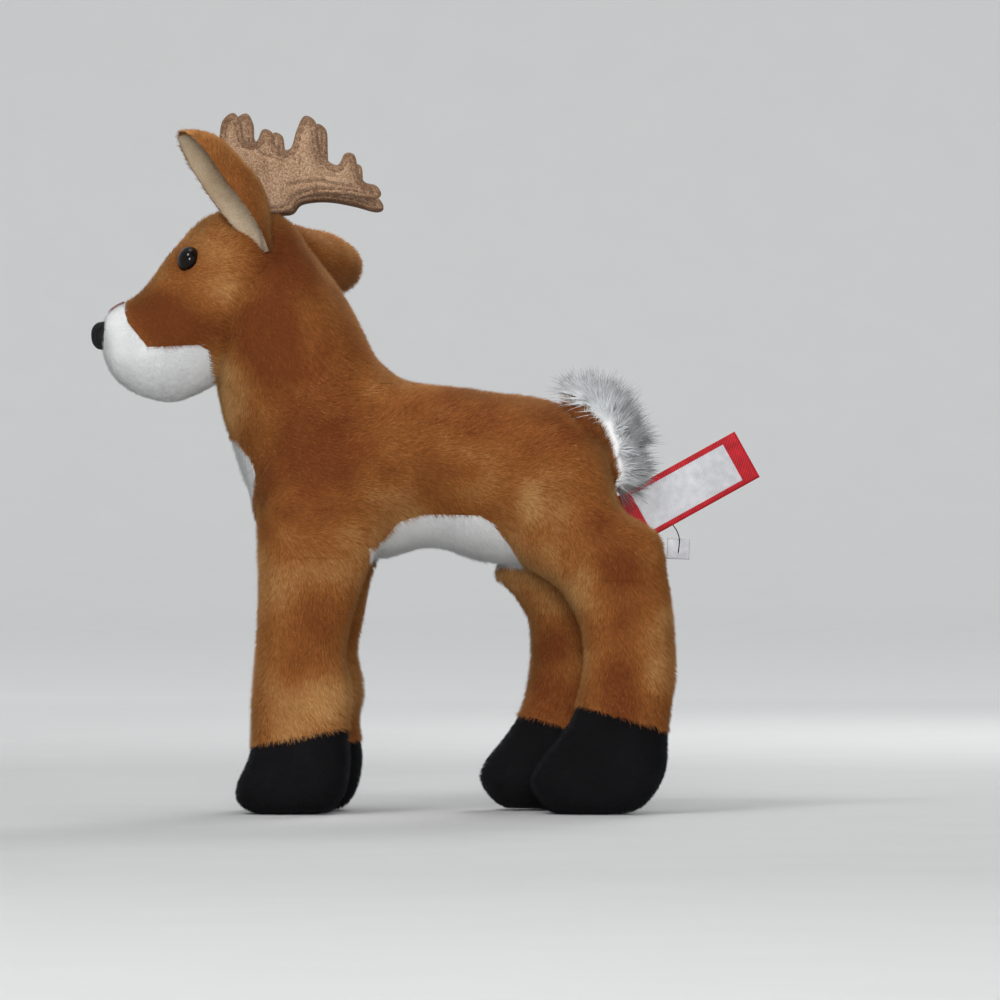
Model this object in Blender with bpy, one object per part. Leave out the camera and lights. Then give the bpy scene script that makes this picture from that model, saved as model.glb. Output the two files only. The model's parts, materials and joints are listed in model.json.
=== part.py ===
"""Plush deer: a small stuffed stag that stands on four hooves, facing -X.

Plush covers are sewn from panels and filled with polyester fibre. Each stuffed form is a loft of
oval sections: its cover is the form less a hollow, and its filling lies in that hollow. The legs
turn at half-round seats at belly height, the head on a round dome at the top of the neck, and the
ears, antlers, tail and labels on the rounded roots that are sewn to the covers.
"""

import math

import bmesh
import bpy
from mathutils import Matrix, Vector
from mathutils.bvhtree import BVHTree

MM = 0.001
LEFT, RIGHT = -1, 1

# Squareness of the fuller sections, where 2 is an oval
FULLNESS = 2.3

# Fabrics, and the gap that neighbours keep
PLUSH = 2.6 * MM
HOOF_FABRIC = 1.6 * MM
FELT = 1.0 * MM
SEAM_GAP = 0.3 * MM
CUT_OVERRUN = 30 * MM

# Trunk, from the chest at -X to the rump at +X. Its belly is BELLY_HEIGHT above the floor
TRUNK_LENGTH = 125.4 * MM
TRUNK_HEIGHT = 50.4 * MM
TRUNK_WIDTH = 52 * MM
BELLY_HEIGHT = 79.2 * MM
TRUNK_SIDES = 16
# Along the trunk, its top and bottom as shares of its height, and its width
TRUNK_SHARES = (
    (0.0, 0.43, 0.26, 0.25),
    (0.019, 0.64, 0.11, 0.62),
    (0.065, 0.85, 0.0, 0.85),
    (0.16, 0.955, -0.05, 0.96),
    (0.3, 1.0, -0.06, 1.0),
    (0.43, 0.975, 0.0, 1.0),
    (0.56, 0.934, -0.075, 1.0),
    (0.69, 0.89, -0.13, 1.02),
    (0.785, 0.805, -0.18, 1.0),
    (0.845, 0.645, -0.19, 0.95),
    (0.877, 0.455, -0.19, 0.88),
    (0.92, 0.2, -0.19, 0.76),
    (1.0, 0.0, -0.15, 0.34),
)
# White belly panel: the upper edge of the white, along the trunk and up it
BELLY_EDGE_SHARES = (
    (0.27, -0.02),
    (0.315, 0.048),
    (0.351, 0.155),
    (0.41, 0.196),
    (0.542, 0.196),
    (0.571, 0.155),
    (0.614, 0.018),
    (0.665, -0.11),
    (0.8, -0.13),
)

# Neck: its root in the trunk, and sections square to its leaning axis
NECK_LENGTH = 60 * MM
NECK_DEPTH = 60 * MM
NECK_WIDTH = 48 * MM
NECK_LEAN = math.radians(24.7)
NECK_SIDES = 16
NECK_ROOT_SHARES = (0.194, 0.667)
# Along the neck, its front and back as shares of half its depth, and its width
NECK_SHARES = (
    (-0.075, 0.96, -1.05, 0.97),
    (0.0, 0.95, -1.0, 0.97),
    (0.16, 0.92, -0.8, 0.94),
    (0.3, 0.906, -0.71, 0.9),
    (0.475, 0.84, -0.69, 0.86),
    (0.635, 0.7, -0.67, 0.82),
    (0.775, 0.52, -0.61, 0.74),
    (0.925, 0.27, -0.54, 0.58),
    (1.0, 0.0, -0.47, 0.32),
)
# White bib on the throat side of the neck: from here down, and this deep behind the front
BIB_TOP_SHARE = 0.2
BIB_DEPTH_SHARE = 0.77

# How deep the roots of the ears, antlers and tail lie in the pile, as a share of their radius,
# and how far the rest of each stays clear of the cover
ROOT_SINK_SHARE = 0.5
ROOT_CLEARANCE = 1.2 * MM
ROOT_SEGMENTS = 20

# Dome at the top of the neck that the head nods on
DOME_RADIUS = 32 * MM
DOME_CENTRE_SHARES = (0.412, -0.148)
DOME_GAP = 0.5 * MM
DOME_SEGMENTS = 36
DOME_BANDS = 14
NOD_RANGE = math.radians(12)
HEAD_SIDE_START = math.radians(96)
HEAD_SIDE_END = math.radians(199)
HEAD_SIDE_STEPS = 4

# Head, from the nose at -X back over the dome
HEAD_LENGTH = 60.9 * MM
HEAD_HEIGHT = 59.1 * MM
HEAD_WIDTH = 42 * MM
HEAD_BACK = 2.4 * MM
HEAD_DROP = 14.7 * MM
HEAD_SIDES = 16
# Along the head, its top and bottom as shares of its height, and its width
HEAD_SHARES = (
    (0.0, 0.396, 0.315, 0.14),
    (0.02, 0.452, 0.234, 0.3),
    (0.064, 0.497, 0.132, 0.46),
    (0.138, 0.543, 0.061, 0.58),
    (0.236, 0.624, 0.015, 0.7),
    (0.36, 0.797, 0.0, 0.85),
    (0.483, 0.924, 0.046, 0.96),
    (0.606, 0.985, 0.122, 1.0),
    (0.729, 1.005, 0.264, 0.97),
    (0.842, 0.985, 0.416, 0.86),
    (0.936, 0.914, 0.548, 0.65),
    (1.0, 0.807, 0.655, 0.3),
)
# Where the white muzzle meets the tan face, from the bridge of the nose back to the jaw
MUZZLE_EDGE_SHARES = ((0.12, 0.6), (0.15, 0.48), (0.262, 0.274), (0.58, 0.31), (0.7, 0.31))

# Nose pad of satin stitches at the tip of the muzzle
NOSE_WIDTH = 10 * MM
NOSE_HEIGHT = 8.6 * MM
NOSE_PROUD = 2.4 * MM
NOSE_DEPTH = 6 * MM
NOSE_HEIGHT_SHARE = 0.365
NOSE_SIDES = 12
# From the pad's front to its back: how far along it is, and how full
NOSE_SHARES = ((0.0, 0.45), (0.12, 0.75), (0.35, 1.0), (1.0, 1.0))

# Safety eyes: a domed button whose post is held by a washer behind the cover
EYE_DIAMETER = 7 * MM
EYE_DOME = 2.4 * MM
EYE_SEAT = 0.9 * MM
EYE_POST_DIAMETER = 2.4 * MM
EYE_POST_LENGTH = 6.5 * MM
EYE_WASHER_DIAMETER = 8 * MM
EYE_WASHER_THICKNESS = 1.0 * MM
EYE_WASHER_FIT = 0.1 * MM
EYE_PLACE_SHARES = (0.443, 0.741)
EYE_SEGMENTS = 12
EYE_DOME_STEPS = 4

# Ears: a cupped leaf of plush with a pale lining, on a rounded root
EAR_LENGTH = 42 * MM
EAR_WIDTH = 19 * MM
EAR_CUP = 10.5 * MM
EAR_CURL = 3 * MM
EAR_BACK_THICKNESS = 1.6 * MM
EAR_LINING_THICKNESS = 0.9 * MM
EAR_ROOT_RADIUS = 1.7 * MM
EAR_ROOT_WIDTH = 8 * MM
EAR_PLACE_SHARES = (0.79, 0.79)
EAR_COLUMNS = 6
EAR_LINING_WIDTH_SHARE = 0.8
# Along the ear, and its width
EAR_SHARES = (
    (0.0, 0.5),
    (0.1, 0.78),
    (0.25, 0.97),
    (0.45, 1.0),
    (0.65, 0.9),
    (0.8, 0.72),
    (0.92, 0.46),
    (1.0, 0.2),
)
# The left ear pricks up; the right one is swept back beside the neck
EAR_LEAN = {LEFT: (-0.6, -0.38, 0.72), RIGHT: (0.64, 0.74, -0.18)}
EAR_FACING = {LEFT: (-0.94, -0.33, 0.0), RIGHT: (-0.75, 0.65, 0.0)}

# Antlers: two felt panels with wadding between them, on a rounded root
ANTLER_SPAN = 48 * MM
ANTLER_RISE = 29 * MM
ANTLER_SPACING = 17 * MM
ANTLER_LEAN = math.radians(9)
ANTLER_PITCH = {LEFT: math.radians(-1), RIGHT: math.radians(5)}
ANTLER_PLACE_SHARE = 0.835
ANTLER_WADDING = 1.6 * MM
ANTLER_HEM = 1.1 * MM
ANTLER_ROOT_RADIUS = 2.2 * MM
ANTLER_ROOT_WIDTH = 8 * MM
ANTLER_STEPS = 2
# Outline from the root's front round the tines and back along the beam, in shares of the span
# and the rise
ANTLER_SHARES = (
    (-0.11, 0.02),
    (-0.24, 0.22),
    (-0.31, 0.5),
    (-0.31, 0.72),
    (-0.29, 0.95),
    (-0.22, 1.04),
    (-0.17, 0.93),
    (-0.15, 0.76),
    (-0.08, 0.74),
    (-0.04, 0.86),
    (0.02, 0.83),
    (0.05, 0.68),
    (0.13, 0.66),
    (0.17, 0.84),
    (0.22, 0.99),
    (0.29, 0.93),
    (0.31, 0.72),
    (0.33, 0.58),
    (0.42, 0.48),
    (0.47, 0.6),
    (0.53, 0.58),
    (0.55, 0.42),
    (0.59, 0.3),
    (0.66, 0.26),
    (0.69, 0.17),
    (0.64, 0.13),
    (0.5, 0.17),
    (0.33, 0.19),
    (0.18, 0.14),
    (0.11, 0.02),
)

# Legs, from the sole up to the thigh; fore and hind share the names of what they measure
HIP_GAP = 0.4 * MM
LEG_SPACING = 31 * MM
LEG_WEB = 8 * MM
LEG_SIDES = 12
HIP_SEGMENTS = 18
SOLE_FLAT = 0.5 * MM
LEG_SWING = math.radians(15)
# How far a leg's edges may slant out from its round top
LEG_FLARE = math.radians(25)
LEG_NAMES = ("fore", "hind")
LEG_WIDTH = {"fore": 23 * MM, "hind": 24 * MM}
LEG_DEPTH = {"fore": 35 * MM, "hind": 46.2 * MM}
HIP_HEIGHT = {"fore": 80 * MM, "hind": 79 * MM}
HIP_SHARE = {"fore": 0.155, "hind": 0.8}
# How far the right leg steps ahead of the left one
RIGHT_LEAD = {"fore": -3 * MM, "hind": 15 * MM}
# Share of the height below the hip over which the step is reached
LEAD_SHARE = 0.3
# Height as a share of the hip's, the front and back of the leg ahead of and behind the hip as
# shares of half its depth, and its width
LEG_SHARES = {
    "fore": (
        (0.0, -1.0, 0.3, 0.62),
        (0.045, -1.32, 0.55, 0.88),
        (0.12, -1.28, 0.68, 0.95),
        (0.22, -1.1, 0.68, 0.88),
        (0.345, -1.08, 0.6, 0.85),
        (0.46, -1.06, 0.64, 0.82),
        (0.61, -0.98, 0.61, 0.82),
        (0.76, -0.94, 0.72, 0.88),
        (0.9, -0.96, 0.95, 0.95),
        (1.0, -1.0, 1.08, 1.0),
        (1.22, -1.05, 1.1, 0.98),
    ),
    "hind": (
        (0.0, -0.38, 0.5, 0.6),
        (0.04, -0.58, 0.8, 0.84),
        (0.12, -0.64, 1.0, 0.92),
        (0.2, -0.56, 1.1, 0.92),
        (0.29, -0.36, 1.12, 0.88),
        (0.385, -0.15, 1.17, 0.84),
        (0.54, -0.05, 1.22, 0.82),
        (0.7, -0.07, 1.18, 0.84),
        (0.8, -0.17, 1.13, 0.88),
        (0.87, -0.4, 1.1, 0.93),
        (0.94, -0.78, 1.07, 0.98),
        (1.02, -1.02, 1.04, 1.0),
        (1.27, -1.05, 1.05, 0.98),
    ),
}
# Height of the hoof's upper edge half the leg's depth ahead of and behind the hip, as shares
HOOF_EDGE_SHARES = {"fore": (0.248, 0.343), "hind": (0.456, 0.296)}

# Tail: raised along the rump, tan on the side against it and shaggy white behind
TAIL_WIDTH = 25 * MM
TAIL_THICKNESS = 11 * MM
TAIL_ROOT_RADIUS = 2.4 * MM
TAIL_ROOT_WIDTH = 9 * MM
TAIL_PANEL = 2.2 * MM
TAIL_ROOT_SHARE = 0.44
TAIL_REACH = 32 * MM
TAIL_SIDES = 12
# Places of the tail's spine behind and above its root as shares of its reach, with its
# thickness and width there
TAIL_SHARES = (
    (-0.03, -0.08, 0.35, 0.34),
    (0.05, 0.05, 0.6, 0.6),
    (0.13, 0.22, 1.05, 0.85),
    (0.08, 0.42, 1.15, 1.0),
    (-0.06, 0.61, 1.1, 1.0),
    (-0.25, 0.76, 0.85, 0.85),
    (-0.45, 0.82, 0.42, 0.45),
)

# Woven label, a folded ribbon in the seam under the tail, with a short satin tab below it
LABEL_WIDTH = 15.6 * MM
LABEL_LENGTH = 38 * MM
RIBBON = 0.45 * MM
LABEL_FOLD = 1.5 * MM
LABEL_RISE = math.radians(29)
LABEL_STANDOFF = 0.9 * MM
LABEL_HEIGHT_SHARE = 0.2
FOLD_STEPS = 5
TAB_WIDTH = 6.5 * MM
TAB_LENGTH = 7 * MM
TAB_THICKNESS = 0.5 * MM
TAB_FALL = math.radians(12)
TAB_HEIGHT_SHARE = -0.01
# Step along the rump, in shares of the trunk's height, over which a seam's direction is taken
SEAM_STEP_SHARE = 0.05


def clear_scene():
    for thing in list(bpy.data.objects):
        bpy.data.objects.remove(thing)


def finish(name, colour, roughness, metallic=0.0):
    """A plain material in the colour, roughness and metallic value of the real fabric."""
    material = bpy.data.materials.new(name)
    material.use_nodes = True
    shader = material.node_tree.nodes["Principled BSDF"]
    shader.inputs["Base Color"].default_value = (*colour, 1.0)
    shader.inputs["Roughness"].default_value = roughness
    shader.inputs["Metallic"].default_value = metallic
    material.diffuse_color = (*colour, 1.0)
    return material


def add(name, mesh, material=None):
    piece = bpy.data.objects.new(name, mesh)
    bpy.context.scene.collection.objects.link(piece)
    if material:
        mesh.materials.append(material)
        mesh.shade_smooth()
    return piece


def guide(name, mesh):
    """A cutter: it shapes other pieces and isn't one itself."""
    piece = add(name, mesh)
    piece.hide_render = True
    piece.display_type = "WIRE"
    return piece


def pivot(name, place, parent):
    """An empty on a joint's axis, which carries the pieces that turn there."""
    empty = bpy.data.objects.new(name, None)
    bpy.context.scene.collection.objects.link(empty)
    empty.parent = parent
    empty.matrix_world = Matrix.Translation(place)
    bpy.context.view_layer.update()
    return empty


def carry(parent, *pieces):
    """Parents pieces that are modelled in place, and leaves them where they are."""
    for piece in pieces:
        piece.parent = parent
        piece.matrix_parent_inverse = parent.matrix_world.inverted()


def boolean(piece, cutter, operation, solver="EXACT"):
    modifier = piece.modifiers.new(f"{operation.lower()}_{cutter.name}", "BOOLEAN")
    modifier.object = cutter
    modifier.operation = operation
    modifier.solver = solver


def cut(piece, *cutters):
    for cutter in cutters:
        boolean(piece, cutter, "DIFFERENCE")


def cut_shallow(piece, *cutters):
    """Cuts seats that graze a facet, where the exact solver leaves edges open."""
    for cutter in cutters:
        boolean(piece, cutter, "DIFFERENCE", "MANIFOLD")


def keep(piece, *cutters):
    for cutter in cutters:
        boolean(piece, cutter, "INTERSECT")


def join(piece, other):
    boolean(piece, other, "UNION")


def mesh_of(name, build):
    """A closed mesh of flat facets made by build(bmesh), with its faces turned outwards."""
    shape = bmesh.new()
    build(shape)
    bmesh.ops.recalc_face_normals(shape, faces=shape.faces)
    bmesh.ops.triangulate(shape, faces=shape.faces[:])
    mesh = bpy.data.meshes.new(name)
    shape.to_mesh(mesh)
    shape.free()
    return mesh


def oval(centre, half_a, half_b, along_a, along_b, sides, squareness=2.0):
    """Points of a rounded section; a squareness above 2 fills its corners."""
    points = []
    for k in range(sides):
        turn = 2 * math.pi * k / sides
        c, s = math.cos(turn), math.sin(turn)
        a = math.copysign(abs(c) ** (2 / squareness), c)
        b = math.copysign(abs(s) ** (2 / squareness), s)
        points.append(centre + along_a * (half_a * a) + along_b * (half_b * b))
    return points


def loft(name, rings):
    """A closed skin over rings of points, with flat ends."""

    def build(shape):
        rows = [[shape.verts.new(point) for point in ring] for ring in rings]
        for low, high in zip(rows, rows[1:]):
            for k in range(len(low)):
                after = (k + 1) % len(low)
                shape.faces.new((low[k], low[after], high[after], high[k]))
        shape.faces.new(rows[0])
        shape.faces.new(rows[-1])

    return mesh_of(name, build)


def grown(mesh, amount, name):
    """A copy of a form with each point moved out along its normal, or in if amount is negative."""
    shape = bmesh.new()
    shape.from_mesh(mesh)
    shape.normal_update()
    moves = [(point, point.normal.copy()) for point in shape.verts]
    for point, normal in moves:
        point.co += normal * amount
    copy = bpy.data.meshes.new(name)
    shape.to_mesh(copy)
    shape.free()
    return copy


def prism(name, outline, low_y, high_y):
    """An outline in X and Z, extruded from low_y to high_y."""
    rings = [[Vector((x, y, z)) for x, z in outline] for y in (low_y, high_y)]
    return loft(name, rings)


def ball(name, centre, radius):
    """A ball whose poles lie on the Y axis, so that it turns about it in a ball of like facets."""

    def build(shape):
        bmesh.ops.create_uvsphere(
            shape,
            u_segments=DOME_SEGMENTS,
            v_segments=DOME_BANDS,
            radius=radius,
            matrix=Matrix.Translation(centre) @ Matrix.Rotation(math.pi / 2, 4, "X"),
        )

    return mesh_of(name, build)


def turned(name, profile, segments):
    """A profile of (radius, height) turned about +Z, closed where it starts and ends."""
    rings = [
        oval(Vector((0, 0, height)), radius, radius, Vector((1, 0, 0)), Vector((0, 1, 0)), segments)
        for radius, height in profile
    ]
    return loft(name, rings)


def rod(name, radius, length):
    """A round bar about the local X axis, through the origin."""
    mesh = turned(name, ((radius, -length / 2), (radius, length / 2)), ROOT_SEGMENTS)
    mesh.transform(Matrix.Rotation(math.pi / 2, 4, "Y"))
    return mesh


def surface_point(mesh, start, direction):
    """Where a line from start first meets a form, and the form's normal there."""
    shape = bmesh.new()
    shape.from_mesh(mesh)
    place, normal, _, _ = BVHTree.FromBMesh(shape).ray_cast(start, direction)
    shape.free()
    return place, normal


def frame_from(origin, x_axis, z_axis):
    """A placement whose X axis is x_axis made square to z_axis."""
    z = Vector(z_axis).normalized()
    x = Vector(x_axis)
    x = (x - z * x.dot(z)).normalized()
    y = z.cross(x)
    placement = Matrix((x, y, z)).transposed().to_4x4()
    placement.translation = origin
    return placement


def place(piece, placement, parent):
    """Stands a piece that is modelled about its own origin in its place on its parent."""
    piece.parent = parent
    piece.matrix_world = placement
    bpy.context.view_layer.update()


# Trunk


def trunk_point(along, up):
    """A place in the side view, from shares of the trunk's length and height."""
    return Vector((TRUNK_LENGTH * (along - 0.5), 0, BELLY_HEIGHT + TRUNK_HEIGHT * up))


def trunk_form(sides):
    rings = []
    for along, top, bottom, width in TRUNK_SHARES:
        rings.append(
            oval(
                trunk_point(along, (top + bottom) / 2),
                TRUNK_HEIGHT * (top - bottom) / 2,
                TRUNK_WIDTH * width / 2,
                Vector((0, 0, 1)),
                Vector((0, 1, 0)),
                sides,
            )
        )
    return loft("trunk_form", rings)


def belly_outline(inset):
    """The region below the white's upper edge, in X and Z."""
    edge = [trunk_point(along, up) for along, up in BELLY_EDGE_SHARES]
    outline = [(p.x, p.z - inset) for p in edge]
    floor = BELLY_HEIGHT - CUT_OVERRUN
    return [(outline[0][0], floor), *outline, (outline[-1][0], floor)]


def trunk_pieces(form, tan, white, fibre, root):
    core = trunk_form(TRUNK_SIDES // 2)
    hollow = guide("trunk_hollow", grown(core, -PLUSH, "trunk_hollow"))
    side = TRUNK_WIDTH / 2 + CUT_OVERRUN
    under = guide("belly_region", prism("belly_region", belly_outline(0), -side, side))
    inside = guide("belly_panel_region", prism("panel", belly_outline(SEAM_GAP), -side, side))
    cover = add("trunk_cover", form.copy(), tan)
    gusset = add("belly_gusset", form.copy(), white)
    filling = add("trunk_stuffing", grown(core, -PLUSH - SEAM_GAP, "trunk_stuffing"), fibre)
    cut(cover, hollow, under)
    cut(gusset, hollow)
    keep(gusset, inside)
    carry(root, hollow, under, inside, cover, gusset, filling)
    return cover, gusset, filling


# Neck


def neck_axes():
    up = Vector((-math.sin(NECK_LEAN), 0, math.cos(NECK_LEAN)))
    front = Vector((-math.cos(NECK_LEAN), 0, -math.sin(NECK_LEAN)))
    return up, front


def neck_point(along, across):
    """A place in the side view, from shares of the neck's length and of half its depth."""
    up, front = neck_axes()
    return (
        trunk_point(*NECK_ROOT_SHARES)
        + up * (NECK_LENGTH * along)
        + front * (NECK_DEPTH / 2 * across)
    )


def neck_form(sides):
    _, front = neck_axes()
    rings = []
    for along, fore, back, width in NECK_SHARES:
        rings.append(
            oval(
                neck_point(along, (fore + back) / 2),
                NECK_DEPTH / 2 * (fore - back) / 2,
                NECK_WIDTH * width / 2,
                front,
                Vector((0, 1, 0)),
                sides,
            )
        )
    return loft("neck_form", rings)


def dome_centre():
    return neck_point(*DOME_CENTRE_SHARES)


def head_side():
    """The wedge about the dome's centre that the head sweeps, in X and Z."""
    centre = dome_centre()
    reach = HEAD_LENGTH + NECK_LENGTH
    start = HEAD_SIDE_START - NOD_RANGE
    span = HEAD_SIDE_END + NOD_RANGE - start
    outline = [(centre.x, centre.z)]
    for k in range(HEAD_SIDE_STEPS + 1):
        turn = start + span * k / HEAD_SIDE_STEPS
        outline.append((centre.x + reach * math.cos(turn), centre.z + reach * math.sin(turn)))
    return outline


def bib_outline(inset):
    """The region in front of and below the tan of the neck, in X and Z."""
    up, front = neck_axes()
    corner = neck_point(BIB_TOP_SHARE, BIB_DEPTH_SHARE) - up * inset + front * inset
    ahead = corner + front * (NECK_DEPTH / 2)
    below = corner - up * NECK_LENGTH
    far = below + front * (NECK_DEPTH / 2)
    return [(p.x, p.z) for p in (corner, ahead, far, below)]


def neck_pieces(trunk, tan, white, fibre, root):
    form = neck_form(NECK_SIDES)
    core = neck_form(NECK_SIDES // 2)
    centre = dome_centre()
    side = NECK_WIDTH / 2 + CUT_OVERRUN
    hollow = guide("neck_hollow", grown(core, -PLUSH, "neck_hollow"))
    above = guide("head_sweep", prism("head_sweep", head_side(), -side, side))
    dome = guide("neck_dome", ball("neck_dome", centre, DOME_RADIUS - DOME_GAP / 2))
    cut(above, dome)
    under = guide("trunk_clearance", grown(trunk, SEAM_GAP, "trunk_clearance"))
    bib_cut = guide("bib_region", prism("bib_region", bib_outline(0), -side, side))
    bib_keep = guide("bib_panel_region", prism("bib_panel", bib_outline(SEAM_GAP), -side, side))
    cover = add("neck_cover", form.copy(), tan)
    bib = add("chest_bib", form.copy(), white)
    filling = add("neck_stuffing", grown(core, -PLUSH - SEAM_GAP, "neck_stuffing"), fibre)
    cut(cover, hollow, above, under, bib_cut)
    cut(bib, hollow, above, under)
    keep(bib, bib_keep)
    cut(filling, above, under)
    carry(root, hollow, above, dome, under, bib_cut, bib_keep, cover, bib, filling)


# Head


def head_point(along, up):
    """A place in the side view, from shares of the head's length and height."""
    centre = dome_centre()
    nose = centre.x - HEAD_BACK - HEAD_LENGTH
    return Vector((nose + HEAD_LENGTH * along, 0, centre.z - HEAD_DROP + HEAD_HEIGHT * up))


def head_form(sides):
    rings = []
    for along, top, bottom, width in HEAD_SHARES:
        rings.append(
            oval(
                head_point(along, (top + bottom) / 2),
                HEAD_HEIGHT * (top - bottom) / 2,
                HEAD_WIDTH * width / 2,
                Vector((0, 0, 1)),
                Vector((0, 1, 0)),
                sides,
            )
        )
    return loft("head_form", rings)


def muzzle_outline(inset):
    """The region ahead of and below the muzzle's edge, in X and Z."""
    edge = [head_point(along, up) for along, up in MUZZLE_EDGE_SHARES]
    outline = [(p.x - inset, p.z - inset) for p in edge]
    ahead = head_point(0, 0).x - CUT_OVERRUN
    floor = head_point(0, 0).z - CUT_OVERRUN
    return [(ahead, outline[0][1]), *outline, (outline[-1][0], floor), (ahead, floor)]


def head_pieces(form, tan, white, fibre, head):
    side = HEAD_WIDTH / 2 + CUT_OVERRUN
    core = head_form(HEAD_SIDES // 2)
    hollow = guide("head_hollow", grown(core, -PLUSH, "head_hollow"))
    socket = guide("head_socket", ball("head_socket", dome_centre(), DOME_RADIUS + DOME_GAP / 2))
    white_cut = guide("muzzle_region", prism("muzzle_region", muzzle_outline(0), -side, side))
    white_mesh = prism("muzzle_panel", muzzle_outline(SEAM_GAP), -side, side)
    white_keep = guide("muzzle_panel_region", white_mesh)
    cover = add("head_cover", form.copy(), tan)
    muzzle = add("muzzle_cover", form.copy(), white)
    filling = add("head_stuffing", grown(core, -PLUSH - SEAM_GAP, "head_stuffing"), fibre)
    cut(cover, hollow, socket, white_cut)
    cut(muzzle, hollow, socket)
    keep(muzzle, white_keep)
    cut(filling, socket)
    carry(head, hollow, socket, white_cut, white_keep, cover, muzzle, filling)
    return cover, filling


def nose_pad(form, black, head):
    """A low pad of stitches whose back follows the tip of the muzzle."""
    start = head_point(0, NOSE_HEIGHT_SHARE) - Vector((CUT_OVERRUN, 0, 0))
    tip, _ = surface_point(form, start, Vector((1, 0, 0)))
    rings = []
    for along, full in NOSE_SHARES:
        rings.append(
            oval(
                tip + Vector((NOSE_DEPTH * along - NOSE_PROUD, 0, 0)),
                NOSE_HEIGHT * full / 2,
                NOSE_WIDTH * full / 2,
                Vector((0, 0, 1)),
                Vector((0, 1, 0)),
                NOSE_SIDES,
                FULLNESS,
            )
        )
    pad = add("nose_stitching", loft("nose_stitching", rings), black)
    muzzle = guide("muzzle_clearance", grown(form, SEAM_GAP, "muzzle_clearance"))
    cut(pad, muzzle)
    carry(head, pad, muzzle)


def eye(side, form, cover, filling, gloss, plastic, head):
    """A domed button on a post, and the washer that holds it behind the cover."""
    word = "left" if side == LEFT else "right"
    start = head_point(*EYE_PLACE_SHARES) + Vector((0, side * CUT_OVERRUN, 0))
    skin, normal = surface_point(form, start, Vector((0, -side, 0)))
    placement = frame_from(skin, Vector((1, 0, 0)), normal)
    radius = EYE_DIAMETER / 2
    post = EYE_POST_DIAMETER / 2
    profile = [(post, -EYE_POST_LENGTH), (post, -EYE_SEAT), (radius, -EYE_SEAT)]
    for k in range(EYE_DOME_STEPS + 1):
        turn = math.pi / 2 * k / (EYE_DOME_STEPS + 1)
        profile.append((radius * math.cos(turn), EYE_DOME * math.sin(turn)))
    button = add(f"eye_{word}", turned("eye", profile, EYE_SEGMENTS), gloss)

    seat_profile = (
        (post + SEAM_GAP, -EYE_POST_LENGTH),
        (post + SEAM_GAP, -EYE_SEAT - SEAM_GAP),
        (radius + SEAM_GAP, -EYE_SEAT - SEAM_GAP),
        (radius + SEAM_GAP, EYE_DOME),
    )
    seat = guide(f"eye_seat_{word}", turned("eye_seat", seat_profile, EYE_SEGMENTS))

    back = -PLUSH - SEAM_GAP
    outer = EYE_WASHER_DIAMETER / 2
    disc = turned("washer", ((outer, back - EYE_WASHER_THICKNESS), (outer, back)), EYE_SEGMENTS)
    washer = add(f"eye_washer_{word}", disc, plastic)
    bore_radius = post + EYE_WASHER_FIT
    bore_profile = ((bore_radius, -EYE_POST_LENGTH - PLUSH), (bore_radius, PLUSH))
    bore = guide(f"washer_bore_{word}", turned("washer_bore", bore_profile, EYE_SEGMENTS))
    cut(washer, bore)

    room = outer + SEAM_GAP
    pocket_profile = ((room, -EYE_POST_LENGTH - SEAM_GAP), (room, -PLUSH))
    pocket = guide(f"eye_pocket_{word}", turned("eye_pocket", pocket_profile, EYE_SEGMENTS))
    cut_shallow(cover, seat, pocket)
    cut(filling, pocket)
    for piece in (button, seat, washer, bore, pocket):
        place(piece, placement, head)


# Ears


def ear_surface(along, width, across):
    """A place on the cupped leaf: across runs from -1 to 1, and the cup opens towards +Y."""
    half = EAR_WIDTH / 2 * width
    cup = EAR_CUP * width * width
    depth = cup * (1 - across * across) + EAR_CURL * along * along
    return Vector((half * across, -depth, EAR_ROOT_RADIUS / 2 + EAR_LENGTH * along))


def ear_sheet(name, rows, thickness, lift, width_share):
    """A leaf of the given thickness, lifted off the ear's middle surface towards +Y."""

    def grid(offset):
        points = []
        for along, width in rows:
            line = []
            for k in range(EAR_COLUMNS + 1):
                across = (2 * k / EAR_COLUMNS - 1) * width_share
                slope = 2 * EAR_CUP * width * across / (EAR_WIDTH / 2)
                normal = Vector((-slope, 1, 0)).normalized()
                line.append(ear_surface(along, width, across) + normal * offset)
            points.append(line)
        return points

    front, back = grid(lift + thickness / 2), grid(lift - thickness / 2)
    rings = [front_row + back_row[::-1] for front_row, back_row in zip(front, back)]
    return loft(name, rings)


def root_on(name, form, skin, normal, axis, radius, width, cover, parent):
    """A hinge on a form's surface, with the round root that turns in a groove in the cover."""
    axis_place = skin + normal * (radius * (1 - ROOT_SINK_SHARE))
    along = axis - normal * axis.dot(normal)
    placement = frame_from(axis_place, along, normal)
    hinge = pivot(f"{name}_root", axis_place, parent)
    gather = guide(f"{name}_gather", rod("gather", radius, width))
    groove_mesh = rod("groove", radius + SEAM_GAP, width + 2 * SEAM_GAP)
    groove = guide(f"{name}_groove", groove_mesh)
    place(gather, placement, hinge)
    place(groove, placement, parent)
    clear = guide(f"{name}_clearance", grown(form, ROOT_CLEARANCE, "root_clearance"))
    carry(parent, clear)
    cut_shallow(cover, groove)
    return hinge, axis_place, gather, groove, clear


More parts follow.
